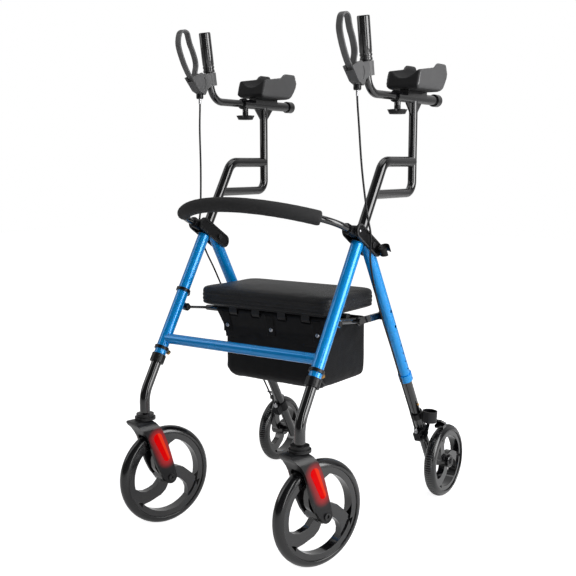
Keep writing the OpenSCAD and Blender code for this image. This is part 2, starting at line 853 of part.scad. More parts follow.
module cane_cup() {
  p = rear_pt(cup_s);
  r = cup_r + cup_wall;
  color(black) difference() {
    union() {
      at_cup(-cup_h / 2) cylinder(h = cup_h, r = r);
      on_rear(cup_s - band_h / 2) cylinder(h = band_h, r = band_r);
      translate([half_track, p[0] - web_w / 2, p[1] - cup_h / 4]) cube([cup_x, web_w, cup_h / 2]);
    }
    at_cup(cup_floor - cup_h / 2) cylinder(h = cup_h, r = cup_r);
    on_rear(cup_s - band_h) cylinder(h = 2 * band_h, r = inner_r);
  }
}

// seat, links and bag

module link_front() {
  low = [rod_x, hinge_y, hinge_z];
  eye = [eye_x + eye_t / 2, seat_pivot[0], seat_pivot[1]];
  color(black) difference() {
    union() {
      translate([-rod_x, hinge_y, hinge_z]) rotate([0, 90, 0]) cylinder(h = 2 * rod_x, r = rod_r);
      for (m = [0, 1]) mirror([m, 0, 0]) {
        translate(low) sphere(rod_r + bend_swell);
        bar(low, eye + rod_r * toward(eye, low), rod_r / 2);
        bar(low, [rod_x, rail_rear, rail_z], rod_r);
        side(eye_x) translate(seat_pivot) cylinder(h = eye_t, r = eye_r);
      }
    }
    for (m = [0, 1]) mirror([m, 0, 0]) {
      side(eye_x - over) translate(seat_pivot) cylinder(h = eye_t + 2 * over, r = bolt_r + run_gap);
      side(eye_x + eye_t) translate(seat_pivot) cylinder(h = eye_t, r = 2 * eye_r);
      side(eye_x - eye_t) translate(seat_pivot) cylinder(h = eye_t, r = bolt_head_r + side_gap);
    }
  }
}

module link_rear() {
  mid = [mid_y, mid_z];
  color(black) difference() {
    union() {
      side(flat_x) linear_extrude(flat_t) eye_bar(mid, link_pivot, flat_half, flat_neck);
      side(flat_x + flat_t / 2) translate(mid) cylinder(h = flat_t / 2 + bolt_head_h, r = bolt_head_r);
    }
    side(flat_x - over) translate(link_pivot) cylinder(h = flat_t + 2 * over, r = bolt_r + run_gap);
  }
}

module seat_base() {
  board_z = seat_z - base_t;
  slope = atan2(hinge_z - rail_z, rail_rear - hinge_y);
  foot_low = hinge_z - (foot_y - foot_w / 2 - hinge_y) * tan(slope) + rod_r / cos(slope) + side_gap;
  color(grey) difference() {
    union() {
      difference() {
        translate([-seat_half + base_in, seat_front + base_in, board_z])
          cube([2 * (seat_half - base_in), seat_rear - seat_front - 2 * base_in, base_t]);
        translate([-seat_half, hinge_y, hinge_z]) rotate([0, 90, 0])
          cylinder(h = 2 * seat_half, r = rod_r + strap_t + side_gap);
      }
      for (m = [0, 1]) mirror([m, 0, 0]) {
        for (x = knuckle_x) translate([x - knuckle_w / 2, hinge_y, 0]) {
          translate([0, 0, hinge_z]) rotate([0, 90, 0]) cylinder(h = knuckle_w, r = knuckle_r);
          translate([0, -knuckle_r, hinge_z]) cube([knuckle_w, 2 * knuckle_r, seat_z - hinge_z]);
        }
        translate([seat_half - 2 * base_in, foot_y - foot_w / 2, board_z])
          cube([rod_x - seat_half + 2 * base_in, foot_w, base_t]);
        translate([rod_x - rod_r, foot_y - foot_w / 2, foot_low])
          cube([rod_r, foot_w, board_z - foot_low + base_t / 2]);
      }
    }
    translate([-seat_half, hinge_y, hinge_z]) rotate([0, 90, 0])
      cylinder(h = 2 * seat_half, r = rod_r + run_gap);
  }
}

// cushion: rounded outline rings, drawn in at the seams, rounded edge and a crowned top
function outline(inset) = let (
    hx = seat_half - inset, hy = (seat_rear - seat_front) / 2 - inset,
    r = max(seat_corner - inset, edge_round),
    n = cushion_ring_n / 4, cx = hx - r, cy = hy - r)
  [for (q = [0 : 3], k = [0 : n - 1]) let (a = 90 * q + 90 * k / (n - 1))
    [(q == 0 || q == 3 ? cx : -cx) + r * cos(a), (q < 2 ? cy : -cy) + r * sin(a)]];

seat_mid_y = (seat_front + seat_rear) / 2;
cushion_side = [for (k = [0 : cushion_side_n]) let (t = k / cushion_side_n)
    [cushion_pinch * (1 - sqrt(abs(sin(180 * (cushion_seams + 1) * t)))),
     t * (cushion_h - edge_round)]];
cushion_edge = [for (a = [30, 60, 90]) [edge_round * (1 - cos(a)), cushion_h - edge_round * (1 - sin(a))]];
cushion_rings = concat(
  [for (s = cushion_side) [for (p = outline(s[0])) [p[0], p[1] + seat_mid_y, seat_z + s[1]]]],
  [for (s = cushion_edge) [for (p = outline(s[0])) [p[0], p[1] + seat_mid_y, seat_z + s[1]]]],
  [for (k = cushion_top_shares) [for (p = outline(edge_round))
    [p[0] * k, p[1] * k + seat_mid_y, seat_z + cushion_h + crown_h * (1 - k * k)]]]);

module seat_cushion() {
  n = cushion_ring_n;
  last = len(cushion_rings) - 1;
  points = [for (ring = cushion_rings, p = ring) p];
  walls = [for (j = [0 : last - 1], i = [0 : n - 1]) let (a = j * n + i, b = j * n + (i + 1) % n)
      each [[a, b + n, b], [a, a + n, b + n]]];
  ends = [[0, seat_mid_y, seat_z + cushion_h + crown_h], [0, seat_mid_y, seat_z]];
  color(black) polyhedron(concat(points, ends),
    concat(walls,
      [for (i = [0 : n - 1]) [last * n + i, len(points), last * n + (i + 1) % n]],
      [for (i = [0 : n - 1]) [(i + 1) % n, len(points) + 1, i]]));
}

module bag_face(inset) {
  w = bag_half - inset;
  r = bag_corner - inset;
  for (x = [-w + r, w - r]) translate([x, bag_low + inset + r]) circle(r);
  translate([-w, bag_low + inset + r]) square([2 * w, bag_rim - bag_low - inset - r]);
  translate([-w + r, bag_low + inset]) square([2 * (w - r), bag_rim - bag_low - inset]);
}

module bag() {
  color(black) {
    difference() {
      translate([0, bag_rear, 0]) rotate([90, 0, 0]) linear_extrude(bag_rear - bag_front) bag_face(0);
      translate([0, bag_rear - bag_wall, 0]) rotate([90, 0, 0])
        linear_extrude(bag_rear - bag_front - 2 * bag_wall) bag_face(bag_wall);
      translate([-bag_half + bag_wall, bag_front + bag_wall, bag_rim - over])
        cube([2 * (bag_half - bag_wall), bag_rear - bag_front - 2 * bag_wall, 2 * over]);
    }
    bag_sleeve();
    for (m = [0, 1]) mirror([m, 0, 0]) bag_side_strap();
  }
}

// front panel, spread to the hinge tube and sewn round it between the knuckles
module bag_sleeve() difference() {
  union() {
    translate([-sleeve_half, hinge_y, hinge_z]) rotate([0, 90, 0])
      cylinder(h = 2 * sleeve_half, r = rod_r + strap_t);
    translate([0, bag_front + strap_t, 0]) rotate([90, 0, 0]) linear_extrude(strap_t)
      polygon([[-bag_half, bag_rim - flare_h], [bag_half, bag_rim - flare_h], [sleeve_half, hinge_z],
               [-sleeve_half, hinge_z]]);
  }
  translate([-2 * sleeve_half, hinge_y, hinge_z]) rotate([0, 90, 0]) cylinder(h = 4 * sleeve_half, r = rod_r);
  for (m = [0, 1], x = knuckle_x) mirror([m, 0, 0])
    translate([x - knuckle_w / 2 - side_gap, hinge_y, hinge_z]) rotate([0, 90, 0])
      cylinder(h = knuckle_w + 2 * side_gap, r = knuckle_r + side_gap);
}

module bag_side_strap() {
  share = (bag_side_strap_y - hinge_y) / (rail_rear - hinge_y);
  z = hinge_z + share * (rail_z - hinge_z);
  low = bag_rim - rod_r;
  difference() {
    translate([0, bag_side_strap_y - strap_w / 2, low]) {
      translate([bag_half - bag_wall, 0, 0])
        cube([rod_x - bag_half + bag_wall - rod_r / 2, strap_w, strap_t]);
      translate([rod_x - rod_r - strap_t, 0, 0]) cube([rod_r, strap_w, z - low]);
    }
    bar([rod_x, hinge_y, hinge_z], [rod_x, rail_rear, rail_z], rod_r);
  }
}

// posts with forearm tubes

loop_turn = 90 - front_lean;
loop_cut = post_bend * tan(loop_turn / 2);
loop_pt = leg_pt(leg_at(loop_top));

module post_path(r1, r2) {
  on_leg(post_s) cylinder(h = leg_at(loop_top) - loop_cut - post_s + lap, r = r1);
  side_arc([loop_pt[0] + loop_cut, loop_top - post_bend], post_bend, 90, loop_turn, r1);
  bar([half_track, loop_pt[0] + loop_cut - lap, loop_top], [half_track, post_y, loop_top], r1);
  translate([half_track, post_y, loop_low + foot_bend - lap])
    cylinder(h = arm_z - loop_low - foot_bend + lap, r = r2);
  side_arc([post_y - foot_bend, loop_low + foot_bend], foot_bend, 270, 90, r2);
  bar([half_track, leg_pt(leg_at(loop_low))[0], loop_low],
      [half_track, post_y - foot_bend + lap, loop_low], r2);
}

module along_arm(y1, y2, r) bar([half_track, y1, arm_z], [half_track, y2, arm_z], r);

module post() {
  color(black) difference() {
    union() {
      post_path(inner_r, post_r);
      along_arm(arm_front, arm_rear, arm_r);
      along_arm(arm_front, arm_front + mouth_l, mouth_r);
      along_arm(arm_rear - cap_l / 2, arm_rear + cap_l, cap_r);
      side(half_track - gusset_t / 2) linear_extrude(gusset_t)
        polygon([[post_y - post_r - gusset_l, arm_z], [post_y + post_r + gusset_l, arm_z],
                 [post_y, arm_z - arm_r - gusset_h]]);
      translate([half_track - saddle_w / 2, post_y - saddle_l / 2, arm_z])
        cube([saddle_w, saddle_l, rest_low - arm_z]);
      translate([half_track, knob_y, arm_z - arm_r - boss_h]) cylinder(h = arm_r + boss_h, r = boss_r);
    }
    on_leg(post_s - over) cylinder(h = leg_at(loop_low) - post_s, r = inner_r - inner_wall);
    along_arm(arm_front - over, arm_rear, arm_bore_r);
    translate([half_track, knob_y, arm_z - 2 * arm_r - boss_h])
      cylinder(h = 2 * arm_r + boss_h, r = knob_stem_r + run_gap);
  }
}

module knob() {
  top = arm_z - arm_r - boss_h - side_gap;
  color(black) translate([half_track, knob_y, 0]) {
    translate([0, 0, top - knob_drop])
      cylinder(h = arm_z - handle_r - pin_tip - top + knob_drop, r = knob_stem_r);
    translate([0, 0, top - knob_stem_h]) cylinder(h = knob_stem_h, r = boss_r);
    translate([0, 0, top - knob_stem_h - knob_t]) difference() {
      cylinder(h = knob_t, r1 = knob_r - knob_t / 2, r2 = knob_r);
      for (k = [0 : knob_lobes - 1]) rotate([0, 0, 360 * k / knob_lobes])
        translate([knob_r + knob_lobe_r / 2, 0, -over]) cylinder(h = knob_t + 2 * over, r = knob_lobe_r);
    }
  }
}

// forearm rest: a trough between two side walls that rise to a hump at the rear
rest_low = arm_z + arm_r + saddle_h;

module rest_side() polygon([for (i = [0 : len(rest_length_shares) - 1])
  [rest_front + rest_len * rest_length_shares[i], rest_low + rest_h * rest_height_shares[i]]]);

module rest_face() {
  w = rest_w / 2;
  c = [w - rest_corner, rest_low + rest_corner];
  polygon(concat([[w, rest_low + rest_h], [-w, rest_low + rest_h]],
    [for (a = [180 : arc_step : 270]) [-c[0], c[1]] + rest_corner * [cos(a), sin(a)]],
    [for (a = [270 : arc_step : 360]) c + rest_corner * [cos(a), sin(a)]]));
}

module armrest() {
  color(dark) difference() {
    intersection() {
      side(half_track - rest_w / 2) linear_extrude(rest_w) rest_side();
      translate([half_track, rest_front + rest_len + over, 0]) rotate([90, 0, 0])
        linear_extrude(rest_len + 2 * over) rest_face();
    }
    translate([half_track, rest_front - over, rest_low + rest_h]) rotate([-90, 0, 0])
      cylinder(h = rest_len + 2 * over, r = trough_r);
  }
}

// handles with brake levers

handle_turn = 90 - grip_tilt;
stroke_end = 4;
handle_rear = arm_rear - handle_stroke - stroke_end;
handle_cut = handle_bend * tan(handle_turn / 2);

// along the grip from the tube's corner
module on_grip(s) translate([half_track, corner_y, arm_z]) rotate([grip_tilt, 0, 0])
  translate([0, 0, s]) children();

module handle() {
  color(black) {
    along_arm(corner_y + handle_cut - lap, handle_rear, handle_r);
    side_arc([corner_y + handle_cut, arm_z + handle_bend], handle_bend, 180 + grip_tilt, handle_turn,
             handle_r);
    on_grip(handle_cut - lap) cylinder(h = grip_low + grip_len - handle_cut - cable_r + lap, r = handle_r);
  }
}

module grip() {
  color(black) on_grip(grip_low) difference() {
    union() {
      cylinder(h = grip_len, r = grip_r - cable_r / 2);
      for (s = [0, grip_len - 2 * cable_r]) translate([0, 0, s]) cylinder(h = 2 * cable_r, r = grip_r);
    }
    translate([0, 0, -over]) cylinder(h = grip_len - cable_r + over, r = handle_r);
  }
}

function grip_pt(s, off = 0) = [corner_y - s * sin(grip_tilt) - off * cos(grip_tilt),
                                arm_z + s * cos(grip_tilt) - off * sin(grip_tilt)];

module brake_housing() {
  tail = grip_pt(clamp_low, handle_r + over);
  head = grip_pt(clamp_low + clamp_h, handle_r + over);
  color(grey) difference() {
    union() {
      on_grip(clamp_low) cylinder(h = clamp_h, r = clamp_r);
      side(half_track - cheek_w / 2) linear_extrude(cheek_w) {
        polygon(concat(housing_top, [head, tail], housing_low));
        translate([lever_y, lever_z]) circle(lever_hub_r);
      }
      translate([half_track, nose_at[0], nose_at[1] - nose_h]) cylinder(h = 2 * nose_h, r = nose_r);
    }
    on_grip(0) cylinder(h = grip_low + grip_len, r = handle_r);
    side(half_track - lever_slot / 2) linear_extrude(lever_slot) {
      translate([lever_y, lever_z]) circle(lever_hub_r + side_gap);
      translate([lever_y, lever_z]) rotate(slot_tilt) translate([-slot_front, 0])
        square([slot_front + slot_rear, slot_h]);
    }
    for (x = [-cheek_w / 2 - over, cheek_w / 2 - almond_depth]) side(half_track + x)
      linear_extrude(almond_depth + over) translate(almond_at) intersection() {
        translate([almond_off, 0]) circle(almond_r);
        translate([-almond_off, 0]) circle(almond_r);
      }
    translate([half_track, nose_at[0], nose_at[1] - 2 * nose_h])
      cylinder(h = 2 * nose_h, r = cable_r + side_gap);
  }
  color(steel) side(half_track - cheek_w / 2) translate([lever_y, lever_z, 0])
    cylinder(h = cheek_w, r = bolt_r);
}

// lever: a flat band led from its hub up the front, over the top and back down to the hub
band_route = [[-126, 1125.5], [-137, 1132], [-150, 1148], [-164, 1171.5], [-174.5, 1195], [-177.5, 1212.5],
              [-172, 1233], [-159, 1241], [-145, 1237], [-139.5, 1224], [-134, 1210], [-124, 1193.5],
              [-115, 1173], [-113, 1158.5], [-116.5, 1145], [-119, 1129]];

function band_side(path, off) = let (last = len(path) - 1) [for (j = [0 : last]) let (
    t = toward(path[max(j - 1, 0)], path[min(j + 1, last)])) path[j] + off * [-t[1], t[0]]];

module lever() {
  n = len(band_route) - 1;
  path = [for (i = [0 : n - 1], k = [0 : band_steps - 1])
      blend(band_route[max(i - 1, 0)], band_route[i], band_route[i + 1], band_route[min(i + 2, n)],
            k / band_steps), band_route[n]];
  back = band_side(path, band_t / 2);
  color(black) side(half_track - lever_w / 2) linear_extrude(lever_w) difference() {
    union() {
      polygon(concat(band_side(path, -band_t / 2), [for (j = [len(back) - 1 : -1 : 0]) back[j]]));
      translate([lever_y, lever_z]) circle(lever_hub_r);
    }
    translate([lever_y, lever_z]) circle(bolt_r + run_gap);
  }
}

// brake cables, each one tube along its route from the lever to the wheel
cable_sides = 8;
cable_steps = 5;
cable_route = [[236, -99, 1090], [236, -99, 1060], [240, -97, 1000], [245, -90, 900], [255, -82, 800],
               [264, -78, 745], [256, -66, 690], [248, -36, 630], [244, 8, 550], [242, 70, 450],
               [240, 130, 350], [238, 184, 262], [236, 223.4, 195.5], [236, 233.4, 178.2]];

function blend(a, b, c, d, t) = (2 * b + (c - a) * t + (2 * a - 5 * b + 4 * c - d) * t * t
                                 + (3 * b - a - 3 * c + d) * t * t * t) / 2;

module cable() {
  n = len(cable_route) - 1;
  path = [for (i = [0 : n - 1], k = [0 : cable_steps - 1])
      blend(cable_route[max(i - 1, 0)], cable_route[i], cable_route[i + 1], cable_route[min(i + 2, n)],
            k / cable_steps), cable_route[n]];
  last = len(path) - 1;
  m = cable_sides;
  ring = [for (j = [0 : last]) let (
      t = toward(path[max(j - 1, 0)], path[min(j + 1, last)]),
      u = toward([0, 0, 0], cross(t, [1, 0, 0])), v = cross(t, u))
      [for (i = [0 : m - 1]) path[j] + cable_r * (cos(360 * i / m) * u + sin(360 * i / m) * v)]];
  color(black) polyhedron([for (r = ring, p = r) p], concat(
    [for (j = [0 : last - 1], i = [0 : m - 1])
      [j * m + i, j * m + (i + 1) % m, (j + 1) * m + (i + 1) % m, (j + 1) * m + i]],
    [[for (i = [m - 1 : -1 : 0]) i]], [[for (i = [0 : m - 1]) last * m + i]]));
}

// sub-part to show: all of them, or one by name

left() front_leg();  // front_leg_left
front_leg();  // front_leg_right
crossbar();
for (m = [0, 1]) mirror([m, 0, 0]) front_collar();  // front_collars
leg_clips();
left() front_pin();  // front_pin_left
front_pin();  // front_pin_right
left() bracket();  // bracket_left
bracket();  // bracket_right
pivot_bolts();
cane_clip();
backrest_tube();
backrest_pad();
left() front_lower();  // front_lower_left
front_lower();  // front_lower_right
fork(-1);  // fork_left
fork(1);  // fork_right
fork_lens(-1);  // fork_lens_left
fork_lens(1);  // fork_lens_right
front_axle(-1);  // front_axle_left
front_axle(1);  // front_axle_right
front_rim(-1);  // front_rim_left
front_rim(1);  // front_rim_right
front_tyre(-1);  // front_tyre_left
front_tyre(1);  // front_tyre_right
left() rear_leg();  // rear_leg_left
rear_leg();  // rear_leg_right
left() rear_lower();  // rear_lower_left
rear_lower();  // rear_lower_right
left() rear_rim();  // rear_rim_left
rear_rim();  // rear_rim_right
left() rear_tyre();  // rear_tyre_left
rear_tyre();  // rear_tyre_right
left() brake_mount();  // brake_mount_left
brake_mount();  // brake_mount_right
left() brake_arm();  // brake_arm_left
brake_arm();  // brake_arm_right
cane_cup();
link_front();
left() link_rear();  // link_rear_left
link_rear();  // link_rear_right
seat_base();
seat_cushion();
bag();
left() post();  // post_left
post();  // post_right
left() knob();  // knob_left
knob();  // knob_right
left() armrest();  // armrest_left
armrest();  // armrest_right
left() handle();  // handle_left
handle();  // handle_right
left() grip();  // grip_left
grip();  // grip_right
left() brake_housing();  // brake_housing_left
brake_housing();  // brake_housing_right
left() lever();  // lever_left
lever();  // lever_right
left() cable();  // cable_left
cable();  // cable_right
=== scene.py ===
import math

import bmesh
import bpy
from mathutils import Matrix, Quaternion, Vector, noise
from mathutils.bvhtree import BVHTree


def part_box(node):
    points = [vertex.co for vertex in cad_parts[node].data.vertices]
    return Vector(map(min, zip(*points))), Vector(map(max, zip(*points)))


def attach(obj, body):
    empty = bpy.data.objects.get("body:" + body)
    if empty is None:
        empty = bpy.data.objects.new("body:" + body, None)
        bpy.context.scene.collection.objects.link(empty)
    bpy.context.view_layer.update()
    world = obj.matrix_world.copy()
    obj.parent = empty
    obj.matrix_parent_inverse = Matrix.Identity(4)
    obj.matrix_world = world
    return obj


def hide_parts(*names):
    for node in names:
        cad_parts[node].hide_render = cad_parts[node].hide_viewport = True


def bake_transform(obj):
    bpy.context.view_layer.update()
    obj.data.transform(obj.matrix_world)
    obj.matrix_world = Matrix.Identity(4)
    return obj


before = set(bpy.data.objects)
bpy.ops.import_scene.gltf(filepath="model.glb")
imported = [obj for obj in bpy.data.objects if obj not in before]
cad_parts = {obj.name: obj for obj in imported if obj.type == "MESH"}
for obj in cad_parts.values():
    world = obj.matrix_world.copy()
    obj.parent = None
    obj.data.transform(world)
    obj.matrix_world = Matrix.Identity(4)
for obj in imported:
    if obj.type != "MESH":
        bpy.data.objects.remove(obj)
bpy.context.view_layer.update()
scene = bpy.context.scene
scene.view_settings.view_transform = "Standard"
SIDES = (("left", -1), ("right", 1))

# The camera stands at the right front of the walker, at chest height, as in the photograph.
# Lens, shift and roll put the wheels and grips where the photograph has them.
camera_at = Vector((1.366, -1.9657, 0.9113))
camera_aim = Vector((0, -0.05, 0.52))
camera_roll = math.radians(-0.19)
camera = bpy.data.objects.new("camera", bpy.data.cameras.new("camera"))
camera.data.sensor_width = 36
camera.data.lens = 58.04
camera.data.shift_x = 0.0029
camera.data.shift_y = 0.0535
camera.location = camera_at
camera_turn = (camera_aim - camera_at).to_track_quat("-Z", "Y") @ Quaternion((0, 0, 1), camera_roll)
camera.rotation_euler = camera_turn.to_euler()
scene.collection.objects.link(camera)
scene.camera = camera

# The brake cables: steel wire in a smooth black jacket, hung free from each housing to the brake block.
# Each is made in four lengths, listed with the two bodies that each hangs between and a share to bend; the
# loop uses neither and bakes each length in place.
# The third runs near the fold's pivot and keeps its distance from the rear leg.
half_track = 0.236
cable_y = -0.099
cable_thick = 0.0048
cable_knots = ((half_track, cable_y, 1.090), (half_track, cable_y, 1.060), (0.240, -0.097, 1.000),
               (0.245, -0.090, 0.900), (0.255, -0.082, 0.800), (0.264, -0.078, 0.745),
               (0.256, -0.066, 0.690), (0.248, -0.036, 0.630), (0.244, 0.008, 0.550),
               (0.242, 0.070, 0.450), (0.240, 0.130, 0.350), (0.238, 0.184, 0.262),
               (half_track, 0.2234, 0.1955), (half_track, 0.2334, 0.1782))
cable_lengths = ((0, 2, "handle_", "post_", 1.0), (2, 5, "post_", "frame", 1.0),
                 (5, 10, "frame", "rear_leg_", 0.42), (10, 13, "rear_leg_", "rear_lower_", 1.0))
cable_steps = 8


def shader_group(name, inputs, outputs):
    group = bpy.data.node_groups.new(name, "ShaderNodeTree")
    for label, kind, value in inputs:
        socket = group.interface.new_socket(label, in_out="INPUT", socket_type="NodeSocket" + kind)
        socket.default_value = value
    for label, kind in outputs:
        group.interface.new_socket(label, in_out="OUTPUT", socket_type="NodeSocket" + kind)
    given, made = group.nodes.new("NodeGroupInput"), group.nodes.new("NodeGroupOutput")
    return group, group.nodes, group.links, given, made


def math_node(nodes, operation, *values):
    node = nodes.new("ShaderNodeMath")
    node.operation = operation
    for socket, value in zip(node.inputs, values):
        if value is not None:
            socket.default_value = value
    return node


def ramp_node(nodes, low, high, to_low=0.0, to_high=1.0):
    node = nodes.new("ShaderNodeMapRange")
    node.interpolation_type = "SMOOTHSTEP"
    for label, value in (("From Min", low), ("From Max", high), ("To Min", to_low), ("To Max", to_high)):
        node.inputs[label].default_value = value
    return node


def worn_surface_group():
    group, nodes, links, given, made = shader_group(
        "surface wear",
        (("Color", "Color", (0.1, 0.1, 0.1, 1)), ("Worn Color", "Color", (0.2, 0.2, 0.2, 1)),
         ("Wear", "Float", 0.3), ("Roughness", "Float", 0.3), ("Spread", "Float", 0.1),
         ("Patch Scale", "Float", 14.0), ("Grain Scale", "Float", 900.0)),
        (("Color", "Color"), ("Roughness", "Float"), ("Height", "Float")))
    place = nodes.new("ShaderNodeTexCoord")
    patch = nodes.new("ShaderNodeTexNoise")
    patch.inputs["Detail"].default_value = 6
    grain = nodes.new("ShaderNodeTexNoise")
    grain.inputs["Detail"].default_value = 2
    tone_step = ramp_node(nodes, 0.42, 0.78)
    share = math_node(nodes, "MULTIPLY")
    tint = nodes.new("ShaderNodeMix")
    tint.data_type = "RGBA"
    around = math_node(nodes, "SUBTRACT", None, 0.5)
    rough = math_node(nodes, "MULTIPLY_ADD")
    rough.use_clamp = True
    for texture, scale in ((patch, "Patch Scale"), (grain, "Grain Scale")):
        links.new(place.outputs["Object"], texture.inputs["Vector"])
        links.new(given.outputs[scale], texture.inputs["Scale"])
    links.new(patch.outputs[0], tone_step.inputs["Value"])
    links.new(tone_step.outputs[0], share.inputs[0])
    links.new(given.outputs["Wear"], share.inputs[1])
    links.new(share.outputs[0], tint.inputs[0])
    links.new(given.outputs["Color"], tint.inputs[6])
    links.new(given.outputs["Worn Color"], tint.inputs[7])
    links.new(patch.outputs[0], around.inputs[0])
    links.new(around.outputs[0], rough.inputs[0])
    links.new(given.outputs["Spread"], rough.inputs[1])
    links.new(given.outputs["Roughness"], rough.inputs[2])
    links.new(tint.outputs[2], made.inputs["Color"])
    links.new(rough.outputs[0], made.inputs["Roughness"])
    links.new(grain.outputs[0], made.inputs["Height"])
    return group


def edge_wear_and_highlight_group():
    # Paler edges: wear on most finishes, and a painted highlight on the forearm rests and the bracket
    # plates.
    group, nodes, links, given, made = shader_group(
        "edge wear and painted highlight", (("Color", "Color", (0.1, 0.1, 0.1, 1)), ("Edge Color", "Color", (0.2, 0.2, 0.2, 1)),
                      ("Amount", "Float", 0.5), ("Radius", "Float", 0.0014)), (("Color", "Color"),))
    rounded = nodes.new("ShaderNodeBevel")
    rounded.samples = 4
    shape = nodes.new("ShaderNodeNewGeometry")
    turn = nodes.new("ShaderNodeVectorMath")
    turn.operation = "DOT_PRODUCT"
    pale_mask = ramp_node(nodes, 0.985, 0.86)
    share = math_node(nodes, "MULTIPLY")
    tint = nodes.new("ShaderNodeMix")
    tint.data_type = "RGBA"
    links.new(given.outputs["Radius"], rounded.inputs["Radius"])
    links.new(rounded.outputs["Normal"], turn.inputs[0])
    links.new(shape.outputs["Normal"], turn.inputs[1])
    links.new(turn.outputs["Value"], pale_mask.inputs["Value"])
    links.new(pale_mask.outputs[0], share.inputs[0])
    links.new(given.outputs["Amount"], share.inputs[1])
    links.new(share.outputs[0], tint.inputs[0])
    links.new(given.outputs["Color"], tint.inputs[6])
    links.new(given.outputs["Edge Color"], tint.inputs[7])
    links.new(tint.outputs[2], made.inputs["Color"])
    return group


worn_surface = worn_surface_group()
edge_wear_and_highlight = edge_wear_and_highlight_group()


def finish(name, color, wear_and_edge_color, roughness, grain_scale, grain_depth, wear=0.3, spread=0.12,
           metallic=0.0, coat=0.0, coat_roughness=0.05, sheen=0.0, specular=0.5, relief=None,
           edge=0.0, edge_radius=0.0014, coat_ior=1.5):
    material = bpy.data.materials.new(name)
    material.use_nodes = True
    nodes, links = material.node_tree.nodes, material.node_tree.links
    skin = nodes["Principled BSDF"]
    skin.inputs["Metallic"].default_value = metallic
    skin.inputs["Coat Weight"].default_value = coat
    skin.inputs["Coat Roughness"].default_value = coat_roughness
    skin.inputs["Coat IOR"].default_value = coat_ior
    skin.inputs["Sheen Weight"].default_value = sheen
    skin.inputs["Specular IOR Level"].default_value = specular
    surface = nodes.new("ShaderNodeGroup")
    surface.node_tree = worn_surface
    surface.inputs["Color"].default_value = (*color, 1)
    surface.inputs["Worn Color"].default_value = (*wear_and_edge_color, 1)
    surface.inputs["Wear"].default_value = wear
    surface.inputs["Roughness"].default_value = roughness
    surface.inputs["Spread"].default_value = spread
    surface.inputs["Grain Scale"].default_value = grain_scale
    tone = surface.outputs["Color"]
    if edge:
        edge_tint = nodes.new("ShaderNodeGroup")
        edge_tint.node_tree = edge_wear_and_highlight
        edge_tint.inputs["Edge Color"].default_value = (*wear_and_edge_color, 1)
        edge_tint.inputs["Amount"].default_value = edge
        edge_tint.inputs["Radius"].default_value = edge_radius
        links.new(tone, edge_tint.inputs["Color"])
        tone = edge_tint.outputs["Color"]
    height = surface.outputs["Height"]
    if relief:
        pattern = nodes.new("ShaderNodeGroup")
        pattern.node_tree = relief
        both = math_node(nodes, "MULTIPLY_ADD", None, 2)
        links.new(pattern.outputs["Height"], both.inputs[0])
        links.new(height, both.inputs[2])
        height = both.outputs[0]
    bump = nodes.new("ShaderNodeBump")
    bump.inputs["Distance"].default_value = grain_depth
    bump.inputs["Strength"].default_value = 1
    links.new(tone, skin.inputs["Base Color"])
    links.new(surface.outputs["Roughness"], skin.inputs["Roughness"])
    links.new(height, bump.inputs["Height"])
    links.new(bump.outputs["Normal"], skin.inputs["Normal"])
    return material


def apply_modifiers(piece):
    bpy.context.view_layer.update()
    made = bpy.data.meshes.new_from_object(piece.evaluated_get(bpy.context.evaluated_depsgraph_get()))
    piece.modifiers.clear()
    piece.data = made
    made.shade_smooth()


def smooth_route(knots, steps):
    points = [Vector(knot) for knot in knots]
    points = [2 * points[0] - points[1], *points, 2 * points[-1] - points[-2]]
    route = []
    for a, b, c, d in zip(points, points[1:], points[2:], points[3:]):
        for step in range(steps):
            t = step / steps
            bend = (2 * a - 5 * b + 4 * c - d) * t * t + (3 * b - a - 3 * c + d) * t ** 3
            route.append((2 * b + (c - a) * t + bend) / 2)
    return route + [points[-2]]


def tube_along(name, route, radius):
    curve = bpy.data.curves.new(name, "CURVE")
    curve.dimensions = "3D"
    line = curve.splines.new("POLY")
    line.points.add(len(route) - 1)
    for point, at in zip(line.points, route):
        point.co = (*at, 1)
    curve.bevel_depth = radius
    curve.bevel_resolution = 3
    curve.use_fill_caps = True
    former = bpy.data.objects.new(name + "_former", curve)
    scene.collection.objects.link(former)
    bpy.context.view_layer.update()
    mesh = bpy.data.meshes.new_from_object(former.evaluated_get(bpy.context.evaluated_depsgraph_get()))
    bpy.data.objects.remove(former)
    mesh.shade_smooth()
    piece = bpy.data.objects.new(name, mesh)
    scene.collection.objects.link(piece)
    return piece


cable_jacket = finish("cable jacket", (0.006, 0.006, 0.007), (0.02, 0.02, 0.02), 0.28, 1500, 0.00003,
                      specular=0.4)
for side, sign in SIDES:
    cable_route = [Vector((sign * p.x, p.y, p.z)) for p in smooth_route(cable_knots, cable_steps)]
    for first, last, above, below, bent_share in cable_lengths:
        path = cable_route[first * cable_steps:last * cable_steps + 1]
        cable = tube_along(f"cable_{side}_{first}", path, cable_thick / 2)
        cable.data.materials.clear()
        cable.data.materials.append(cable_jacket)
        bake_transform(cable)
        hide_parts("cable_" + side)

# The studio: a white floor that runs into a white backdrop, and large soft boxes.
# Towards the camera the room is dim, so gloss shows the soft boxes as streaks.
floor_half = 9
floor_near, floor_far = 0.5, 1.3
floor_glow, floor_shine = 0.86, 0.18
floor_bm = bmesh.new()
bmesh.ops.create_grid(floor_bm, x_segments=1, y_segments=1, size=floor_half)
floor_mesh = bpy.data.meshes.new("floor")
floor_bm.to_mesh(floor_mesh)
floor_bm.free()
floor = bpy.data.objects.new("floor", floor_mesh)
scene.collection.objects.link(floor)

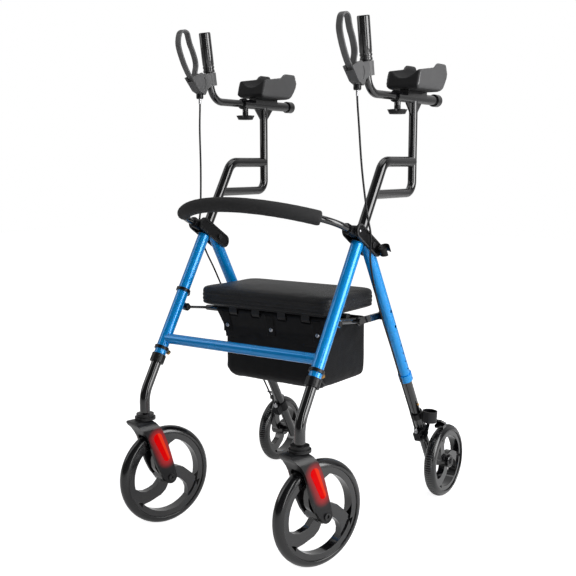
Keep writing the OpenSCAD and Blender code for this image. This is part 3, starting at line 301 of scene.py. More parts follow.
floor_white = bpy.data.materials.new("floor white")
floor_white.use_nodes = True
nodes, links = floor_white.node_tree.nodes, floor_white.node_tree.links
nodes.clear()
floor_out = nodes.new("ShaderNodeOutputMaterial")
floor_sum = nodes.new("ShaderNodeAddShader")
floor_diffuse = nodes.new("ShaderNodeBsdfDiffuse")
floor_diffuse.inputs["Color"].default_value = (0.8, 0.8, 0.8, 1)
floor_light = nodes.new("ShaderNodeEmission")
floor_place = nodes.new("ShaderNodeTexCoord")
floor_away = nodes.new("ShaderNodeVectorMath")
floor_away.operation = "LENGTH"
floor_rise = ramp_node(nodes, floor_near, floor_far, floor_glow, 1)
floor_path = nodes.new("ShaderNodeLightPath")
floor_mirror = math_node(nodes, "MULTIPLY", None, floor_shine)
floor_seen = math_node(nodes, "MAXIMUM")
floor_level = math_node(nodes, "MULTIPLY")
links.new(floor_place.outputs["Object"], floor_away.inputs[0])
links.new(floor_away.outputs["Value"], floor_rise.inputs["Value"])
links.new(floor_path.outputs["Is Camera Ray"], floor_seen.inputs[0])
links.new(floor_path.outputs["Is Glossy Ray"], floor_mirror.inputs[0])
links.new(floor_mirror.outputs[0], floor_seen.inputs[1])
links.new(floor_seen.outputs[0], floor_level.inputs[0])
links.new(floor_rise.outputs[0], floor_level.inputs[1])
links.new(floor_level.outputs[0], floor_light.inputs["Strength"])
links.new(floor_diffuse.outputs[0], floor_sum.inputs[0])
links.new(floor_light.outputs[0], floor_sum.inputs[1])
links.new(floor_sum.outputs[0], floor_out.inputs["Surface"])
floor_mesh.materials.append(floor_white)

room_dim, room_bright = 0.06, 0.4
room_fill = 0.11
backdrop_lift = 0.35
world = bpy.data.worlds.new("studio")
scene.world = world
world.use_nodes = True
nodes, links = world.node_tree.nodes, world.node_tree.links
nodes.clear()
world_out = nodes.new("ShaderNodeOutputWorld")
world_light = nodes.new("ShaderNodeBackground")
world_light.inputs["Color"].default_value = (1, 1, 1, 1)
world_way = nodes.new("ShaderNodeTexCoord")
world_dot = nodes.new("ShaderNodeVectorMath")
world_dot.operation = "DOT_PRODUCT"
backdrop_way = (camera_aim - camera_at).normalized()
world_dot.inputs[1].default_value = (backdrop_way.x, backdrop_way.y, backdrop_lift)
world_ramp = ramp_node(nodes, 0.0, 0.7, room_dim, room_bright)
world_path = nodes.new("ShaderNodeLightPath")
world_seen = math_node(nodes, "MAXIMUM")
world_level = nodes.new("ShaderNodeMix")
world_camera = nodes.new("ShaderNodeMix")
world_level.inputs[2].default_value = room_fill
world_camera.inputs[3].default_value = 1
links.new(world_way.outputs["Generated"], world_dot.inputs[0])
links.new(world_dot.outputs["Value"], world_ramp.inputs["Value"])
links.new(world_path.outputs["Is Glossy Ray"], world_seen.inputs[0])
links.new(world_path.outputs["Is Transmission Ray"], world_seen.inputs[1])
links.new(world_seen.outputs[0], world_level.inputs[0])
links.new(world_ramp.outputs["Result"], world_level.inputs[3])
links.new(world_path.outputs["Is Camera Ray"], world_camera.inputs[0])
links.new(world_level.outputs[0], world_camera.inputs[2])
links.new(world_camera.outputs[0], world_light.inputs["Strength"])
links.new(world_light.outputs[0], world_out.inputs["Surface"])


def soft_box(name, at, aim, width, height, power):
    lamp = bpy.data.lights.new(name, "AREA")
    lamp.shape = "RECTANGLE"
    lamp.size = width
    lamp.size_y = height
    lamp.energy = power
    box = bpy.data.objects.new(name, lamp)
    box.location = at
    box.rotation_euler = (Vector(aim) - Vector(at)).to_track_quat("-Z", "Y").to_euler()
    scene.collection.objects.link(box)


soft_box("key box", (2.6, 0.3, 1.4), (0, 0, 0.6), 1.5, 2.4, 60)
soft_box("left box", (-2.2, -1.6, 2.0), (0, 0, 0.6), 1.0, 2.2, 9)
soft_box("top box", (0.2, 0.2, 3.2), (0, 0, 0), 2.2, 2.2, 15)
soft_box("strip box", (2.45, -1.7, 1.2), (0, 0, 0.7), 0.4, 2.2, 12)

# The blue tubes: front legs, rear legs and the crossbar welded between the legs.
# Drawn steel tube under a deep gloss blue lacquer, with faint orange peel and dust.


def dress(names, material, ease=0.0):
    for name in names:
        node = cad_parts[name]
        mesh = node.data
        mesh.materials.clear()
        mesh.materials.append(material)
        if "custom_normal" in mesh.attributes:
            mesh.attributes.remove(mesh.attributes["custom_normal"])
        mesh.shade_smooth()
        weld = node.modifiers.new("weld", "WELD")
        weld.merge_threshold = 0.00001
        if ease:
            flat = node.modifiers.new("flat faces", "DECIMATE")
            flat.decimate_type = "DISSOLVE"
            flat.angle_limit = math.radians(0.5)
            edge = node.modifiers.new("eased edges", "BEVEL")
            edge.width = ease
            edge.segments = 2
            edge.limit_method = "ANGLE"
            edge.angle_limit = math.radians(40)
            edge.harden_normals = True
        else:
            split = node.modifiers.new("crisp edges", "EDGE_SPLIT")
            split.split_angle = math.radians(35)


blue_lacquer = finish("blue lacquer", (0.0, 0.36, 0.95), (0.002, 0.40, 0.96), 0.26, 420, 0.000002,
                      wear=0.25, metallic=0.25, coat=1.0, coat_roughness=0.05, specular=0.3, coat_ior=1.5)
dress(["front_leg_left", "front_leg_right", "rear_leg_left", "rear_leg_right", "crossbar"], blue_lacquer)

# The black tubes: lower legs, posts, handles, seat links and the backrest's bow.
# Bent steel tube in gloss black powder coat, with a fine pebble in the coat.
black_coat = finish("black powder coat", (0.004, 0.004, 0.005), (0.012, 0.012, 0.013), 0.16, 1400, 0.000001,
                    wear=0.25, coat=1.0, coat_roughness=0.06, specular=0.4, coat_ior=1.65)
dress(["front_lower_left", "front_lower_right", "rear_lower_left", "rear_lower_right",
       "post_left", "post_right", "handle_left", "handle_right", "link_front", "link_rear_left",
       "link_rear_right", "backrest_tube", "brake_arm_left", "brake_arm_right"], black_coat)

# The small mouldings: collars at the tubes' mouths, ring clips, cane clip and cup, and knobs.
# Black injection-moulded nylon, satin, with the fine grain of the tool and eased, rubbed edges.
black_nylon = finish("black moulded nylon", (0.007, 0.007, 0.008), (0.03, 0.03, 0.032), 0.32, 1800, 0.00004,
                     wear=0.3, specular=0.4, edge=0.6)
dress(["front_collars", "leg_clips", "cane_clip", "cane_cup", "knob_left", "knob_right"],
      black_nylon, 0.0006)

# The brackets that join the legs and hold the backrest, with the brake mounts on the rear legs.
# Dark grey glass-filled nylon with a matte grain; each plate has a raised rim and a zinc rivet in front.
# The rim and the plate's edges are painted paler, a painted highlight.
# Painted highlight: the plate's edges are painted pale.
grey_nylon = finish("dark grey nylon", (0.004, 0.004, 0.005), (0.14, 0.14, 0.142), 0.4, 1500, 0.00003,
                    wear=0.02, specular=0.25, edge=0.8)
dress(["bracket_left", "bracket_right", "brake_mount_left", "brake_mount_right"], grey_nylon, 0.0012)


def mesh_piece(name, bm, sharp=35):
    mesh = bpy.data.meshes.new(name)
    bm.to_mesh(mesh)
    bm.free()
    mesh.shade_smooth()
    mesh.set_sharp_from_angle(angle=math.radians(sharp))
    piece = bpy.data.objects.new(name, mesh)
    scene.collection.objects.link(piece)
    return piece


def turned_bm(profile, steps=32, hex_within=0.0):
    bm = bmesh.new()
    rim = [bm.verts.new((radius, 0, height)) for radius, height in profile]
    edges = [bm.edges.new(pair) for pair in zip(rim, rim[1:])]
    bmesh.ops.spin(bm, geom=rim + edges, cent=(0, 0, 0), axis=(0, 0, 1), dvec=(0, 0, 0), angle=2 * math.pi,
                   steps=steps, use_merge=True)
    bmesh.ops.remove_doubles(bm, verts=bm.verts, dist=0.000001)
    for vert in bm.verts:
        radius = math.hypot(vert.co.x, vert.co.y)
        if 0 < radius < hex_within:
            part = math.radians(60)
            off = math.atan2(vert.co.y, vert.co.x) % part - part / 2
            vert.co.xy *= math.cos(part / 2) / math.cos(off)
    bmesh.ops.recalc_face_normals(bm, faces=bm.faces)
    return bm


def turned(name, profile, at, way, steps=32, hex_within=0.0, sharp=35):
    bm = turned_bm(profile, steps, hex_within)
    turn = Vector((0, 0, 1)).rotation_difference(Vector(way)).to_matrix().to_4x4()
    bmesh.ops.transform(bm, matrix=Matrix.Translation(at) @ turn, verts=bm.verts)
    return mesh_piece(name, bm, sharp)


def dress_piece(piece, material, body, stands_for):
    piece.data.materials.clear()
    piece.data.materials.append(material)
    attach(piece, body)
    if stands_for:
        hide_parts(stands_for)


zinc = finish("zinc plate", (0.6, 0.6, 0.62), (0.4, 0.4, 0.41), 0.28, 2500, 0.00002, metallic=1.0)
plate_ends = (Vector((-0.1107, 0.7589)), Vector((-0.0306, 0.7091)))
plate_rim_radius, plate_rim_half, plate_recess = 0.015, 0.0017, 0.002
plate_lean = math.atan2(plate_ends[1].y - plate_ends[0].y, plate_ends[1].x - plate_ends[0].x)
# Painted highlight: the raised rim is painted far paler than the plate.
rim_nylon_painted_highlight = finish("grey nylon painted rim highlight", (0.05, 0.05, 0.051), (0.12, 0.12, 0.122), 0.38, 1500, 0.00003,
                   specular=0.4)
bracket_rivet = ((0, 0.0024), (0.0022, 0.0021), (0.0036, 0.0010), (0.0040, 0), (0.0040, -0.002),
                 (0, -0.002))
for side, sign in SIDES:
    low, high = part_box("bracket_" + side)
    outer = high.x if sign > 0 else low.x
    rivet_at = (outer - sign * plate_recess, *plate_ends[0])
    rivet = turned("bracket_rivet_" + side, bracket_rivet, rivet_at, (sign, 0, 0), 20)
    dress_piece(rivet, zinc, "frame", None)
    outline = []
    for end, first in zip(plate_ends, (90, -90)):
        for step in range(13):
            turn = plate_lean + math.radians(first + 15 * step)
            outline.append(Vector((outer, end.x + plate_rim_radius * math.cos(turn),
                                   end.y + plate_rim_radius * math.sin(turn))))
    rim = tube_along("bracket_rim_" + side, outline + outline[:1], plate_rim_half)
    dress_piece(rim, rim_nylon_painted_highlight, "frame", None)

# The pivot bolts in blackened steel, and the brass lock pins and spring buttons of the legs.
# Turned parts with faint tool marks; the buttons stand in the lower tubes' top holes.
brass = finish("brass", (0.62, 0.36, 0.12), (0.4, 0.22, 0.07), 0.26, 2500, 0.00002, metallic=1.0)
black_steel = finish("blackened steel", (0.012, 0.012, 0.013), (0.08, 0.08, 0.085), 0.3, 2200, 0.00002,
                     wear=0.4, edge=0.8)
dress(["pivot_bolts"], black_steel, 0.0005)
dress(["front_pin_left", "front_pin_right"], brass, 0.0005)
spring_button = ((0, 0.0042), (0.0016, 0.0040), (0.0028, 0.0031), (0.0032, 0.0016), (0.0032, -0.003),
                 (0, -0.003))
button_at = (half_track + 0.0125, 0.2065, 0.2758)
for side, sign in SIDES:
    button = turned("rear_button_" + side, spring_button, (sign * button_at[0], *button_at[1:]),
                    (sign, 0, 0), 20)
    dress_piece(button, brass, "rear_lower_" + side, None)

# The casters: a moulded fork with a red lens on each face, a spoked rim, a tyre and a socket bolt.
# Satin black nylon forks with a painted red glow round the lenses, lenses with a painted glow, gloss rims,
# polyurethane tyres with a mould line.
swivel = math.radians(-16)
lens_top, lens_foot = Vector((0, 0.016, 0.236)), Vector((0, 0.040, 0.180))
stem_y, trail, front_radius = -0.331, 0.052, 0.127
caster_turn = Matrix.Rotation(swivel, 3, "Z")


def lens_space_group():
    group, nodes, links, given, made = shader_group(
        "lens space", (("Stem", "Vector", (0, 0, 0)),),
        (("Distance", "Float"), ("Offset", "Float"), ("Aside", "Float")))
    span = lens_foot - lens_top
    across = Vector((0, -span.z, span.y)).normalized()

    def vector(operation, value=None):
        node = nodes.new("ShaderNodeVectorMath")
        node.operation = operation
        if value is not None:
            node.inputs[1].default_value = value
        return node

    place = nodes.new("ShaderNodeTexCoord")
    centred = vector("SUBTRACT")
    straight = nodes.new("ShaderNodeVectorRotate")
    straight.rotation_type = "Z_AXIS"
    straight.inputs["Angle"].default_value = -swivel
    flat = vector("MULTIPLY", (0, 1, 1))
    below = vector("SUBTRACT", lens_top)
    along = vector("DOT_PRODUCT", span / span.length_squared)
    held = math_node(nodes, "MULTIPLY", None, 1)
    held.use_clamp = True
    foot = vector("SCALE")
    foot.inputs[0].default_value = span
    off = vector("SUBTRACT")
    length = vector("LENGTH")
    aside = vector("DOT_PRODUCT", across)
    split = nodes.new("ShaderNodeSeparateXYZ")
    sideways = math_node(nodes, "ABSOLUTE")
    links.new(place.outputs["Object"], centred.inputs[0])
    links.new(given.outputs["Stem"], centred.inputs[1])
    links.new(centred.outputs[0], straight.inputs["Vector"])
    links.new(straight.outputs[0], flat.inputs[0])
    links.new(flat.outputs[0], below.inputs[0])
    links.new(below.outputs[0], along.inputs[0])
    links.new(along.outputs["Value"], held.inputs[0])
    links.new(held.outputs[0], foot.inputs["Scale"])
    links.new(below.outputs[0], off.inputs[0])
    links.new(foot.outputs[0], off.inputs[1])
    links.new(off.outputs[0], length.inputs[0])
    links.new(off.outputs[0], aside.inputs[0])
    links.new(length.outputs["Value"], made.inputs["Distance"])
    links.new(aside.outputs["Value"], made.inputs["Offset"])
    links.new(straight.outputs[0], split.inputs[0])
    links.new(split.outputs["X"], sideways.inputs[0])
    links.new(sideways.outputs[0], made.inputs["Aside"])
    return group


lens_space = lens_space_group()


def lens_node(material, sign):
    node = material.node_tree.nodes.new("ShaderNodeGroup")
    node.node_tree = lens_space
    node.inputs["Stem"].default_value = (sign * half_track, stem_y, 0)
    return node


rim_gloss = finish("gloss rim", (0.004, 0.004, 0.005), (0.02, 0.02, 0.021), 0.16, 1200, 0.00001, wear=0.2,
                   coat=1.0, coat_roughness=0.07, specular=0.4, coat_ior=1.7)
tyre_rubber = finish("tyre", (0.005, 0.005, 0.006), (0.02, 0.02, 0.02), 0.22, 1700, 0.00002, wear=0.35,
                     coat=0.7, coat_roughness=0.12, specular=0.4, coat_ior=1.6)
dress(["front_rim_left", "front_rim_right", "rear_rim_left", "rear_rim_right"], rim_gloss, 0.0016)


def tyre_piece(name, node, centre, way, steps, grooves, groove, ribs):
    offsets = [vert.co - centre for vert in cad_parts[node].data.vertices]
    half = max(abs(off.dot(way)) for off in offsets)
    radii = [(off - way * off.dot(way)).length for off in offsets]
    inner, outer = min(radii), max(radii)
    bow = 0.5 * half
    profile = [(inner, -half + 0.001), (inner + 0.001, -half)]
    arc = 24
    for step in range(arc + 1):
        turn = math.pi * (step / arc - 0.5)
        at = half * math.sin(turn)
        cut = sum(math.exp(-(((at - line) / 0.0009) ** 2)) for line in grooves)
        profile.append((outer - half + half * math.cos(turn) - groove * cut, at))
    profile += [(inner + 0.001, half), (inner, half - 0.001), (inner, -half + 0.001)]
    bm = turned_bm(profile, steps)
    if ribs:
        for vert in bm.verts:
            radius = vert.co.xy.length
            index = round(math.atan2(vert.co.y, vert.co.x) / (2 * math.pi / steps))
            if radius > outer - bow and index % 2:
                vert.co.xy *= (radius - ribs * min(1, (radius - outer + bow) / (0.4 * bow))) / radius
    turn = Vector((0, 0, 1)).rotation_difference(way).to_matrix().to_4x4()
    bmesh.ops.transform(bm, matrix=Matrix.Translation(centre) @ turn, verts=bm.verts)
    return mesh_piece(name, bm, 20 if ribs else 50)


for side, sign in SIDES:
    wheel_way = caster_turn @ Vector((sign, 0, 0))
    wheel_at = Vector((sign * half_track, stem_y, front_radius)) + caster_turn @ Vector((0, trail, 0))
    fork_nylon_painted_glow = finish("fork nylon painted red halo " + side, (0.01, 0.01, 0.011), (0.045, 0.045, 0.047), 0.3, 1600,
                        0.00004, wear=0.3, specular=0.4, edge=0.5)
    nodes, links = fork_nylon_painted_glow.node_tree.nodes, fork_nylon_painted_glow.node_tree.links
    near_lens = lens_node(fork_nylon_painted_glow, sign)
    # Painted glow: the fork emits red round each lens, fading to nothing 31 mm away, on its side faces
    # only.
    painted_glow = ramp_node(nodes, 0.009, 0.031, 0.45, 0)
    outside = ramp_node(nodes, 0.029, 0.0325)
    painted_glow_share = math_node(nodes, "MULTIPLY")
    links.new(near_lens.outputs["Distance"], painted_glow.inputs["Value"])
    links.new(near_lens.outputs["Aside"], outside.inputs["Value"])
    links.new(painted_glow.outputs[0], painted_glow_share.inputs[0])
    links.new(outside.outputs[0], painted_glow_share.inputs[1])
    links.new(painted_glow_share.outputs[0], nodes["Principled BSDF"].inputs["Emission Strength"])
    nodes["Principled BSDF"].inputs["Emission Color"].default_value = (0.8, 0.004, 0.01, 1)
    dress(["fork_" + side], fork_nylon_painted_glow, 0.002)

    # The lens is given a painted glow: it emits red, turning brighter orange-red beyond its crease as a
    # painted highlight.
    red_lens_painted_glow = finish("red lens " + side, (0.35, 0.001, 0.002), (0.4, 0.002, 0.003), 0.2, 300, 0.00003,
                      specular=0.05)
    nodes, links = red_lens_painted_glow.node_tree.nodes, red_lens_painted_glow.node_tree.links
    lens_line = lens_node(red_lens_painted_glow, sign)
    crease = ramp_node(nodes, 0.0015, 0.0045)
    painted_glow_tone = nodes.new("ShaderNodeMix")
    painted_glow_tone.data_type = "RGBA"
    painted_glow_tone.inputs[6].default_value = (1, 0.0005, 0.001, 1)
    painted_glow_tone.inputs[7].default_value = (1.3, 0.1, 0.03, 1)
    links.new(lens_line.outputs["Offset"], crease.inputs["Value"])
    links.new(crease.outputs[0], painted_glow_tone.inputs[0])
    links.new(painted_glow_tone.outputs[2], nodes["Principled BSDF"].inputs["Emission Color"])
    nodes["Principled BSDF"].inputs["Emission Strength"].default_value = 0.42
    dress(["fork_lens_" + side], red_lens_painted_glow, 0.0008)

    axle_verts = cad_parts["front_axle_" + side].data.vertices
    axle_end = max((vert.co - wheel_at).dot(wheel_way) for vert in axle_verts)
    head, shank, socket = 0.0085, 0.0058, 0.0046
    half_bolt = [(0, axle_end - 0.003), (socket, axle_end - 0.003), (socket, axle_end - 0.0002),
                 (socket + 0.0006, axle_end), (head - 0.0009, axle_end), (head, axle_end - 0.0009),
                 (head, axle_end - 0.004), (shank, axle_end - 0.004)]
    bolt_profile = half_bolt + [(radius, -height) for radius, height in reversed(half_bolt)]
    axle = turned("axle_bolt_" + side, bolt_profile, wheel_at, wheel_way, 24, hex_within=0.0048)
    dress_piece(axle, black_steel, "caster_" + side, "front_axle_" + side)
    tyre = tyre_piece("front_tread_" + side, "front_tyre_" + side, wheel_at, wheel_way, 128,
                      grooves=(0.0,), groove=0.0004, ribs=0)
    dress_piece(tyre, tyre_rubber, "front_wheel_" + side, "front_tyre_" + side)

# The rear wheels: gloss spoked rims with finely ribbed tyres, held by a flanged nut on the stub axle.
# The nut is turned from blackened steel; its washer takes the rims' gloss finish.
rear_at, rear_x = Vector((0, 0.308, 0.100)), 0.280
nut_out, ring_out = 0.0208, 0.0196
nut_profile = ((0, 0.0052), (0.0030, 0.0052), (0.0034, 0.0047), (0.0066, 0.0047), (0.0084, 0.0040),
               (0.0086, 0.0012), (0.0112, 0.0010), (0.0114, 0.0002), (0.0114, 0), (0, 0))
ring_profile = ((0.0125, 0), (0.0125, 0.0012), (0.0135, 0.0020), (0.0155, 0.0020), (0.0165, 0.0010),
                (0.0165, 0), (0.0125, 0))
for side, sign in SIDES:
    wheel_at = Vector((sign * rear_x, rear_at.y, rear_at.z))
    way = Vector((sign, 0, 0))
    tyre = tyre_piece("rear_tread_" + side, "rear_tyre_" + side, wheel_at, way, 192,
                      grooves=(), groove=0, ribs=0.0009)
    dress_piece(tyre, tyre_rubber, "rear_wheel_" + side, "rear_tyre_" + side)
    nut = turned("rear_nut_" + side, nut_profile, wheel_at + way * nut_out, way, 24,
                 hex_within=0.0090)
    dress_piece(nut, black_steel, "rear_lower_" + side, None)
    ring = turned("rear_hub_ring_" + side, ring_profile, wheel_at + way * ring_out, way, 40)
    dress_piece(ring, rim_gloss, "rear_wheel_" + side, None)

# The cable ends: a plated ferrule under each housing and a barrel adjuster on each brake block.
# Turned steel with a collar, zinc plated.
ferrule_profile = ((0.0026, 0.008), (0.0036, 0.008), (0.0040, 0.0074), (0.0040, 0.0030), (0.0034, 0.0022),
                   (0.0034, -0.011), (0.0028, -0.0125), (0.0026, -0.0125), (0.0026, 0.008))
barrel_profile = ((0.0026, 0.017), (0.0032, 0.017), (0.0040, 0.016), (0.0040, 0.010), (0.0054, 0.0094),
                  (0.0054, 0.0042), (0.0040, 0.0036), (0.0040, -0.002), (0.0026, -0.002), (0.0026, 0.017))
rear_way = Vector((0, -0.5, 0.866))
for side, sign in SIDES:
    ferrule_at = (sign * half_track, cable_y, 1.0775)
    ferrule = turned("cable_ferrule_" + side, ferrule_profile, ferrule_at, (0, 0, 1), 24)
    dress_piece(ferrule, zinc, "handle_" + side, None)
    barrel_at = (sign * half_track, 0.2275, 0.1888)
    barrel = turned("cable_adjuster_" + side, barrel_profile, barrel_at, rear_way, 24)
    dress_piece(barrel, zinc, "rear_lower_" + side, None)

# The seat's board under the cushion, a moulded panel with its hinge knuckles and feet.
# Black nylon, matte underneath.
dress(["seat_base"], black_nylon, 0.001)

# The seat cushion: foam under black grained vinyl, flat on top, with channels sewn round its sides.
# The foam's swell is simulated, then the channels are pressed into the sides.


def leather_group():
    group, nodes, links, given, made = shader_group(
        "leather grain", (("Scale", "Float", 420.0),), (("Height", "Float"),))
    place = nodes.new("ShaderNodeTexCoord")
    cells = nodes.new("ShaderNodeTexVoronoi")
    cells.feature = "DISTANCE_TO_EDGE"
    pebble = ramp_node(nodes, 0.0, 0.25)
    links.new(place.outputs["Object"], cells.inputs["Vector"])
    links.new(given.outputs["Scale"], cells.inputs["Scale"])
    links.new(cells.outputs["Distance"], pebble.inputs["Value"])
    links.new(pebble.outputs[0], made.inputs["Height"])
    return group


def soft_copy(node, name, voxel, rounds, shrink=0.0):
    mesh = bpy.data.meshes.new(name)
    bm = bmesh.new()
    bm.from_mesh(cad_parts[node].data)
    bmesh.ops.remove_doubles(bm, verts=bm.verts, dist=0.00001)
    bm.normal_update()
    for vert in bm.verts:
        vert.co -= vert.normal * shrink
    bm.to_mesh(mesh)
    bm.free()
    piece = bpy.data.objects.new(name, mesh)
    scene.collection.objects.link(piece)
    remesh = piece.modifiers.new("remesh", "REMESH")
    remesh.mode = "VOXEL"
    remesh.voxel_size = voxel
    smooth = piece.modifiers.new("smooth", "SMOOTH")
    smooth.iterations = rounds
    apply_modifiers(piece)
    return piece


def swell(piece, pressure, cap, frames=20):
    start = [vert.co.copy() for vert in piece.data.vertices]
    cloth = piece.modifiers.new("cloth", "CLOTH")
    cloth.settings.use_pressure = True
    cloth.settings.uniform_pressure_force = pressure
    cloth.settings.effector_weights.gravity = 0
    cloth.point_cache.frame_end = frames
    for step in range(1, frames + 1):
        scene.frame_set(step)
    apply_modifiers(piece)
    scene.frame_set(1)
    for vert, was in zip(piece.data.vertices, start):
        moved = vert.co - was
        if moved.length > cap:
            vert.co = was + moved.normalized() * cap


seat_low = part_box("seat_cushion")[0].z
foot_lift = 0.0006
channel_heights = (0.012, 0.022, 0.032)
channel_depth = 0.0019
channel_half = 0.0016
cushion = soft_copy("seat_cushion", "seat_cushion_vinyl", 0.005, 6, shrink=0.002)
swell(cushion, 2, 0.002)
finer = cushion.modifiers.new("finer", "SUBSURF")
finer.levels = finer.render_levels = 1
apply_modifiers(cushion)
for vert in cushion.data.vertices:
    up = vert.co.z - seat_low
    flat_way = Vector((vert.normal.x, vert.normal.y, 0))
    if flat_way.length > 0.5:
        draw = sum(math.exp(-(((up - height) / channel_half) ** 2)) for height in channel_heights)
        vert.co -= flat_way.normalized() * draw * channel_depth
    vert.co.z = max(vert.co.z, seat_low + foot_lift)
vinyl = finish("seat vinyl", (0.008, 0.008, 0.009), (0.018, 0.018, 0.019), 0.36, 380, 0.00016, spread=0.16,
               specular=0.4, relief=leather_group())
dress_piece(cushion, vinyl, "seat", "seat_cushion")

# The bag under the seat: a lined nylon box with rounded bottom edges, its front panel sewn as a sleeve
# round the hinge tube. Webbing tabs snap down on its front, and piping runs round each side panel.
bag_half, bag_front, bag_rear = 0.150, -0.112, 0.096
bag_low, bag_rim = 0.362, 0.520
bag_round, bag_fold, bag_wall = 0.028, 0.012, 0.0022
bag_mid_y = (bag_front + bag_rear) / 2
bag_bulge, bag_sag, bag_wrinkle = 0.0045, 0.004, 0.0018


def weave_group():
    group, nodes, links, given, made = shader_group(
        "nylon weave", (("Scale", "Float", 3600.0),), (("Height", "Float"),))
    place = nodes.new("ShaderNodeTexCoord")
    split = nodes.new("ShaderNodeSeparateXYZ")
    across = math_node(nodes, "ADD")
    links.new(place.outputs["Object"], split.inputs[0])
    links.new(split.outputs["X"], across.inputs[0])
    links.new(split.outputs["Y"], across.inputs[1])
    threads = []
    for run in (across.outputs[0], split.outputs["Z"]):
        pitch = math_node(nodes, "MULTIPLY")
        wave = math_node(nodes, "SINE")
        links.new(run, pitch.inputs[0])
        links.new(given.outputs["Scale"], pitch.inputs[1])
        links.new(pitch.outputs[0], wave.inputs[0])
        threads.append(wave)
    over = math_node(nodes, "MULTIPLY")
    rise = math_node(nodes, "MULTIPLY_ADD", None, 0.5, 0.5)
    links.new(threads[0].outputs[0], over.inputs[0])
    links.new(threads[1].outputs[0], over.inputs[1])
    links.new(over.outputs[0], rise.inputs[0])
    links.new(rise.outputs[0], made.inputs["Height"])
    return group


weave = weave_group()
nylon_cloth = finish("bag nylon", (0.0045, 0.0045, 0.0055), (0.010, 0.010, 0.011), 0.5, 900, 0.00006,
                     sheen=0.03, specular=0.2, relief=weave)
webbing = finish("webbing", (0.0025, 0.0025, 0.003), (0.007, 0.007, 0.008), 0.55, 900, 0.00008, sheen=0.03,
                 specular=0.2, relief=weave)
piping_cloth = finish("piping", (0.014, 0.014, 0.016), (0.035, 0.035, 0.037), 0.4, 900, 0.0001,
                      sheen=0.2, relief=weave)

bag_bm = bmesh.new()
bmesh.ops.create_cube(bag_bm, size=1)
bag_size = (2 * bag_half, bag_rear - bag_front, bag_rim - bag_low + bag_round)
bag_centre = (0, bag_mid_y, (bag_rim + bag_low + bag_round) / 2)
bmesh.ops.scale(bag_bm, vec=bag_size, verts=bag_bm.verts)
bmesh.ops.translate(bag_bm, vec=bag_centre, verts=bag_bm.verts)
upright = [e for e in bag_bm.edges if abs(e.verts[0].co.z - e.verts[1].co.z) > bag_round]
bmesh.ops.bevel(bag_bm, geom=upright, offset=bag_fold, segments=3, profile=0.5, affect="EDGES",
                material=-1)
floor_edges = [e for e in bag_bm.edges if all(v.co.z < bag_low + bag_wall for v in e.verts)]
bmesh.ops.bevel(bag_bm, geom=floor_edges, offset=bag_round, segments=5, profile=0.5, affect="EDGES",
                material=-1)
bag = mesh_piece("bag_cloth", bag_bm)
bag_remesh = bag.modifiers.new("remesh", "REMESH")
bag_remesh.mode = "VOXEL"
bag_remesh.voxel_size = 0.005
apply_modifiers(bag)
bag_bm = bmesh.new()
bag_bm.from_mesh(bag.data)
bmesh.ops.bisect_plane(bag_bm, geom=bag_bm.verts[:] + bag_bm.edges[:] + bag_bm.faces[:], dist=0.00001,
                       plane_co=(0, 0, bag_rim), plane_no=(0, 0, 1), clear_outer=True)
bag_bm.normal_update()
for vert in bag_bm.verts:
    along = max(0, 1 - (vert.co.x / bag_half) ** 2)
    across = max(0, 1 - ((vert.co.y - bag_mid_y) / (bag_rear - bag_mid_y)) ** 2)
    up = (vert.co.z - bag_low) / (bag_rim - bag_low)
    hang = math.sin(math.pi * min(1, max(0, up)))
    crease = noise.fractal(vert.co * 26, 1, 2, 3) * bag_wrinkle * (0.35 + up)
    face_share = max(along * abs(vert.normal.y), across * abs(vert.normal.x))
    vert.co += vert.normal * (bag_bulge * hang * face_share + crease * max(along, across))
    vert.co.z -= bag_sag * along * across * max(0, -vert.normal.z)
bag_bm.to_mesh(bag.data)
bag_bm.free()
bag_shape = BVHTree.FromPolygons([v.co for v in bag.data.vertices],
                                 [p.vertices for p in bag.data.polygons])
bag_lining = bag.modifiers.new("rest_painted_light", "SOLIDIFY")
bag_lining.thickness = bag_wall
apply_modifiers(bag)
dress_piece(bag, nylon_cloth, "seat_link", "bag")

hinge_y, hinge_z = -0.118, 0.541


def cloth_band(name, columns, rows, place, thickness, material, cut=None):
    bm = bmesh.new()
    bmesh.ops.create_grid(bm, x_segments=columns, y_segments=rows, size=1)
    for vert in bm.verts:
        vert.co = place(vert.co.x, (vert.co.y + 1) / 2)
    if cut:
        gone = [face for face in bm.faces if cut(face.calc_center_median())]
        bmesh.ops.delete(bm, geom=gone, context="FACES")
    band = mesh_piece(name, bm, 70)
    layer = band.modifiers.new("thickness", "SOLIDIFY")
    layer.thickness = thickness
    layer.offset = 0
    apply_modifiers(band)
    dress_piece(band, material, "seat_link", "bag")
    return band


def along_line(points, share):
    spans = [(b - a).length for a, b in zip(points, points[1:])]
    left = share * sum(spans)
    for a, b, span in zip(points, points[1:], spans):
        if left <= span:
            return a.lerp(b, left / span)
        left -= span
    return points[-1]


def round_tube(radius, first, last, steps):
    turns = [math.radians(first + (last - first) * step / steps) for step in range(steps + 1)]
    return [Vector((hinge_y + radius * math.cos(turn), hinge_z + radius * math.sin(turn)))
            for turn in turns]


sleeve_line = ([Vector((bag_front - 0.0012, 0.470)), Vector((bag_front - 0.0022, 0.500))]
               + round_tube(0.0080, 205, -10, 12) + [Vector((bag_front + 0.004, 0.512))])
flare_low, flare_half = 0.476, 0.168
ripple_depth, ripple_pitch = 0.0003, 95
knuckle_low, knuckle_half, knuckle_places = 0.5285, 0.0140, (0.040, 0.112)


def sleeve_place(u, v):
    at = along_line(sleeve_line, v)
    rise = min(1, max(0, (at.y - flare_low) / (hinge_z - flare_low)))
    x = u * (bag_half - 0.002 + (flare_half - bag_half + 0.002) * rise ** 1.3)
    ripple = ripple_depth * math.sin(x * ripple_pitch) * math.sin(math.pi * v)
    return Vector((x, at.x - abs(ripple), at.y))


def at_knuckle(centre):
    off = min(abs(abs(centre.x) - x) for x in knuckle_places)
    return centre.z > knuckle_low and off < knuckle_half


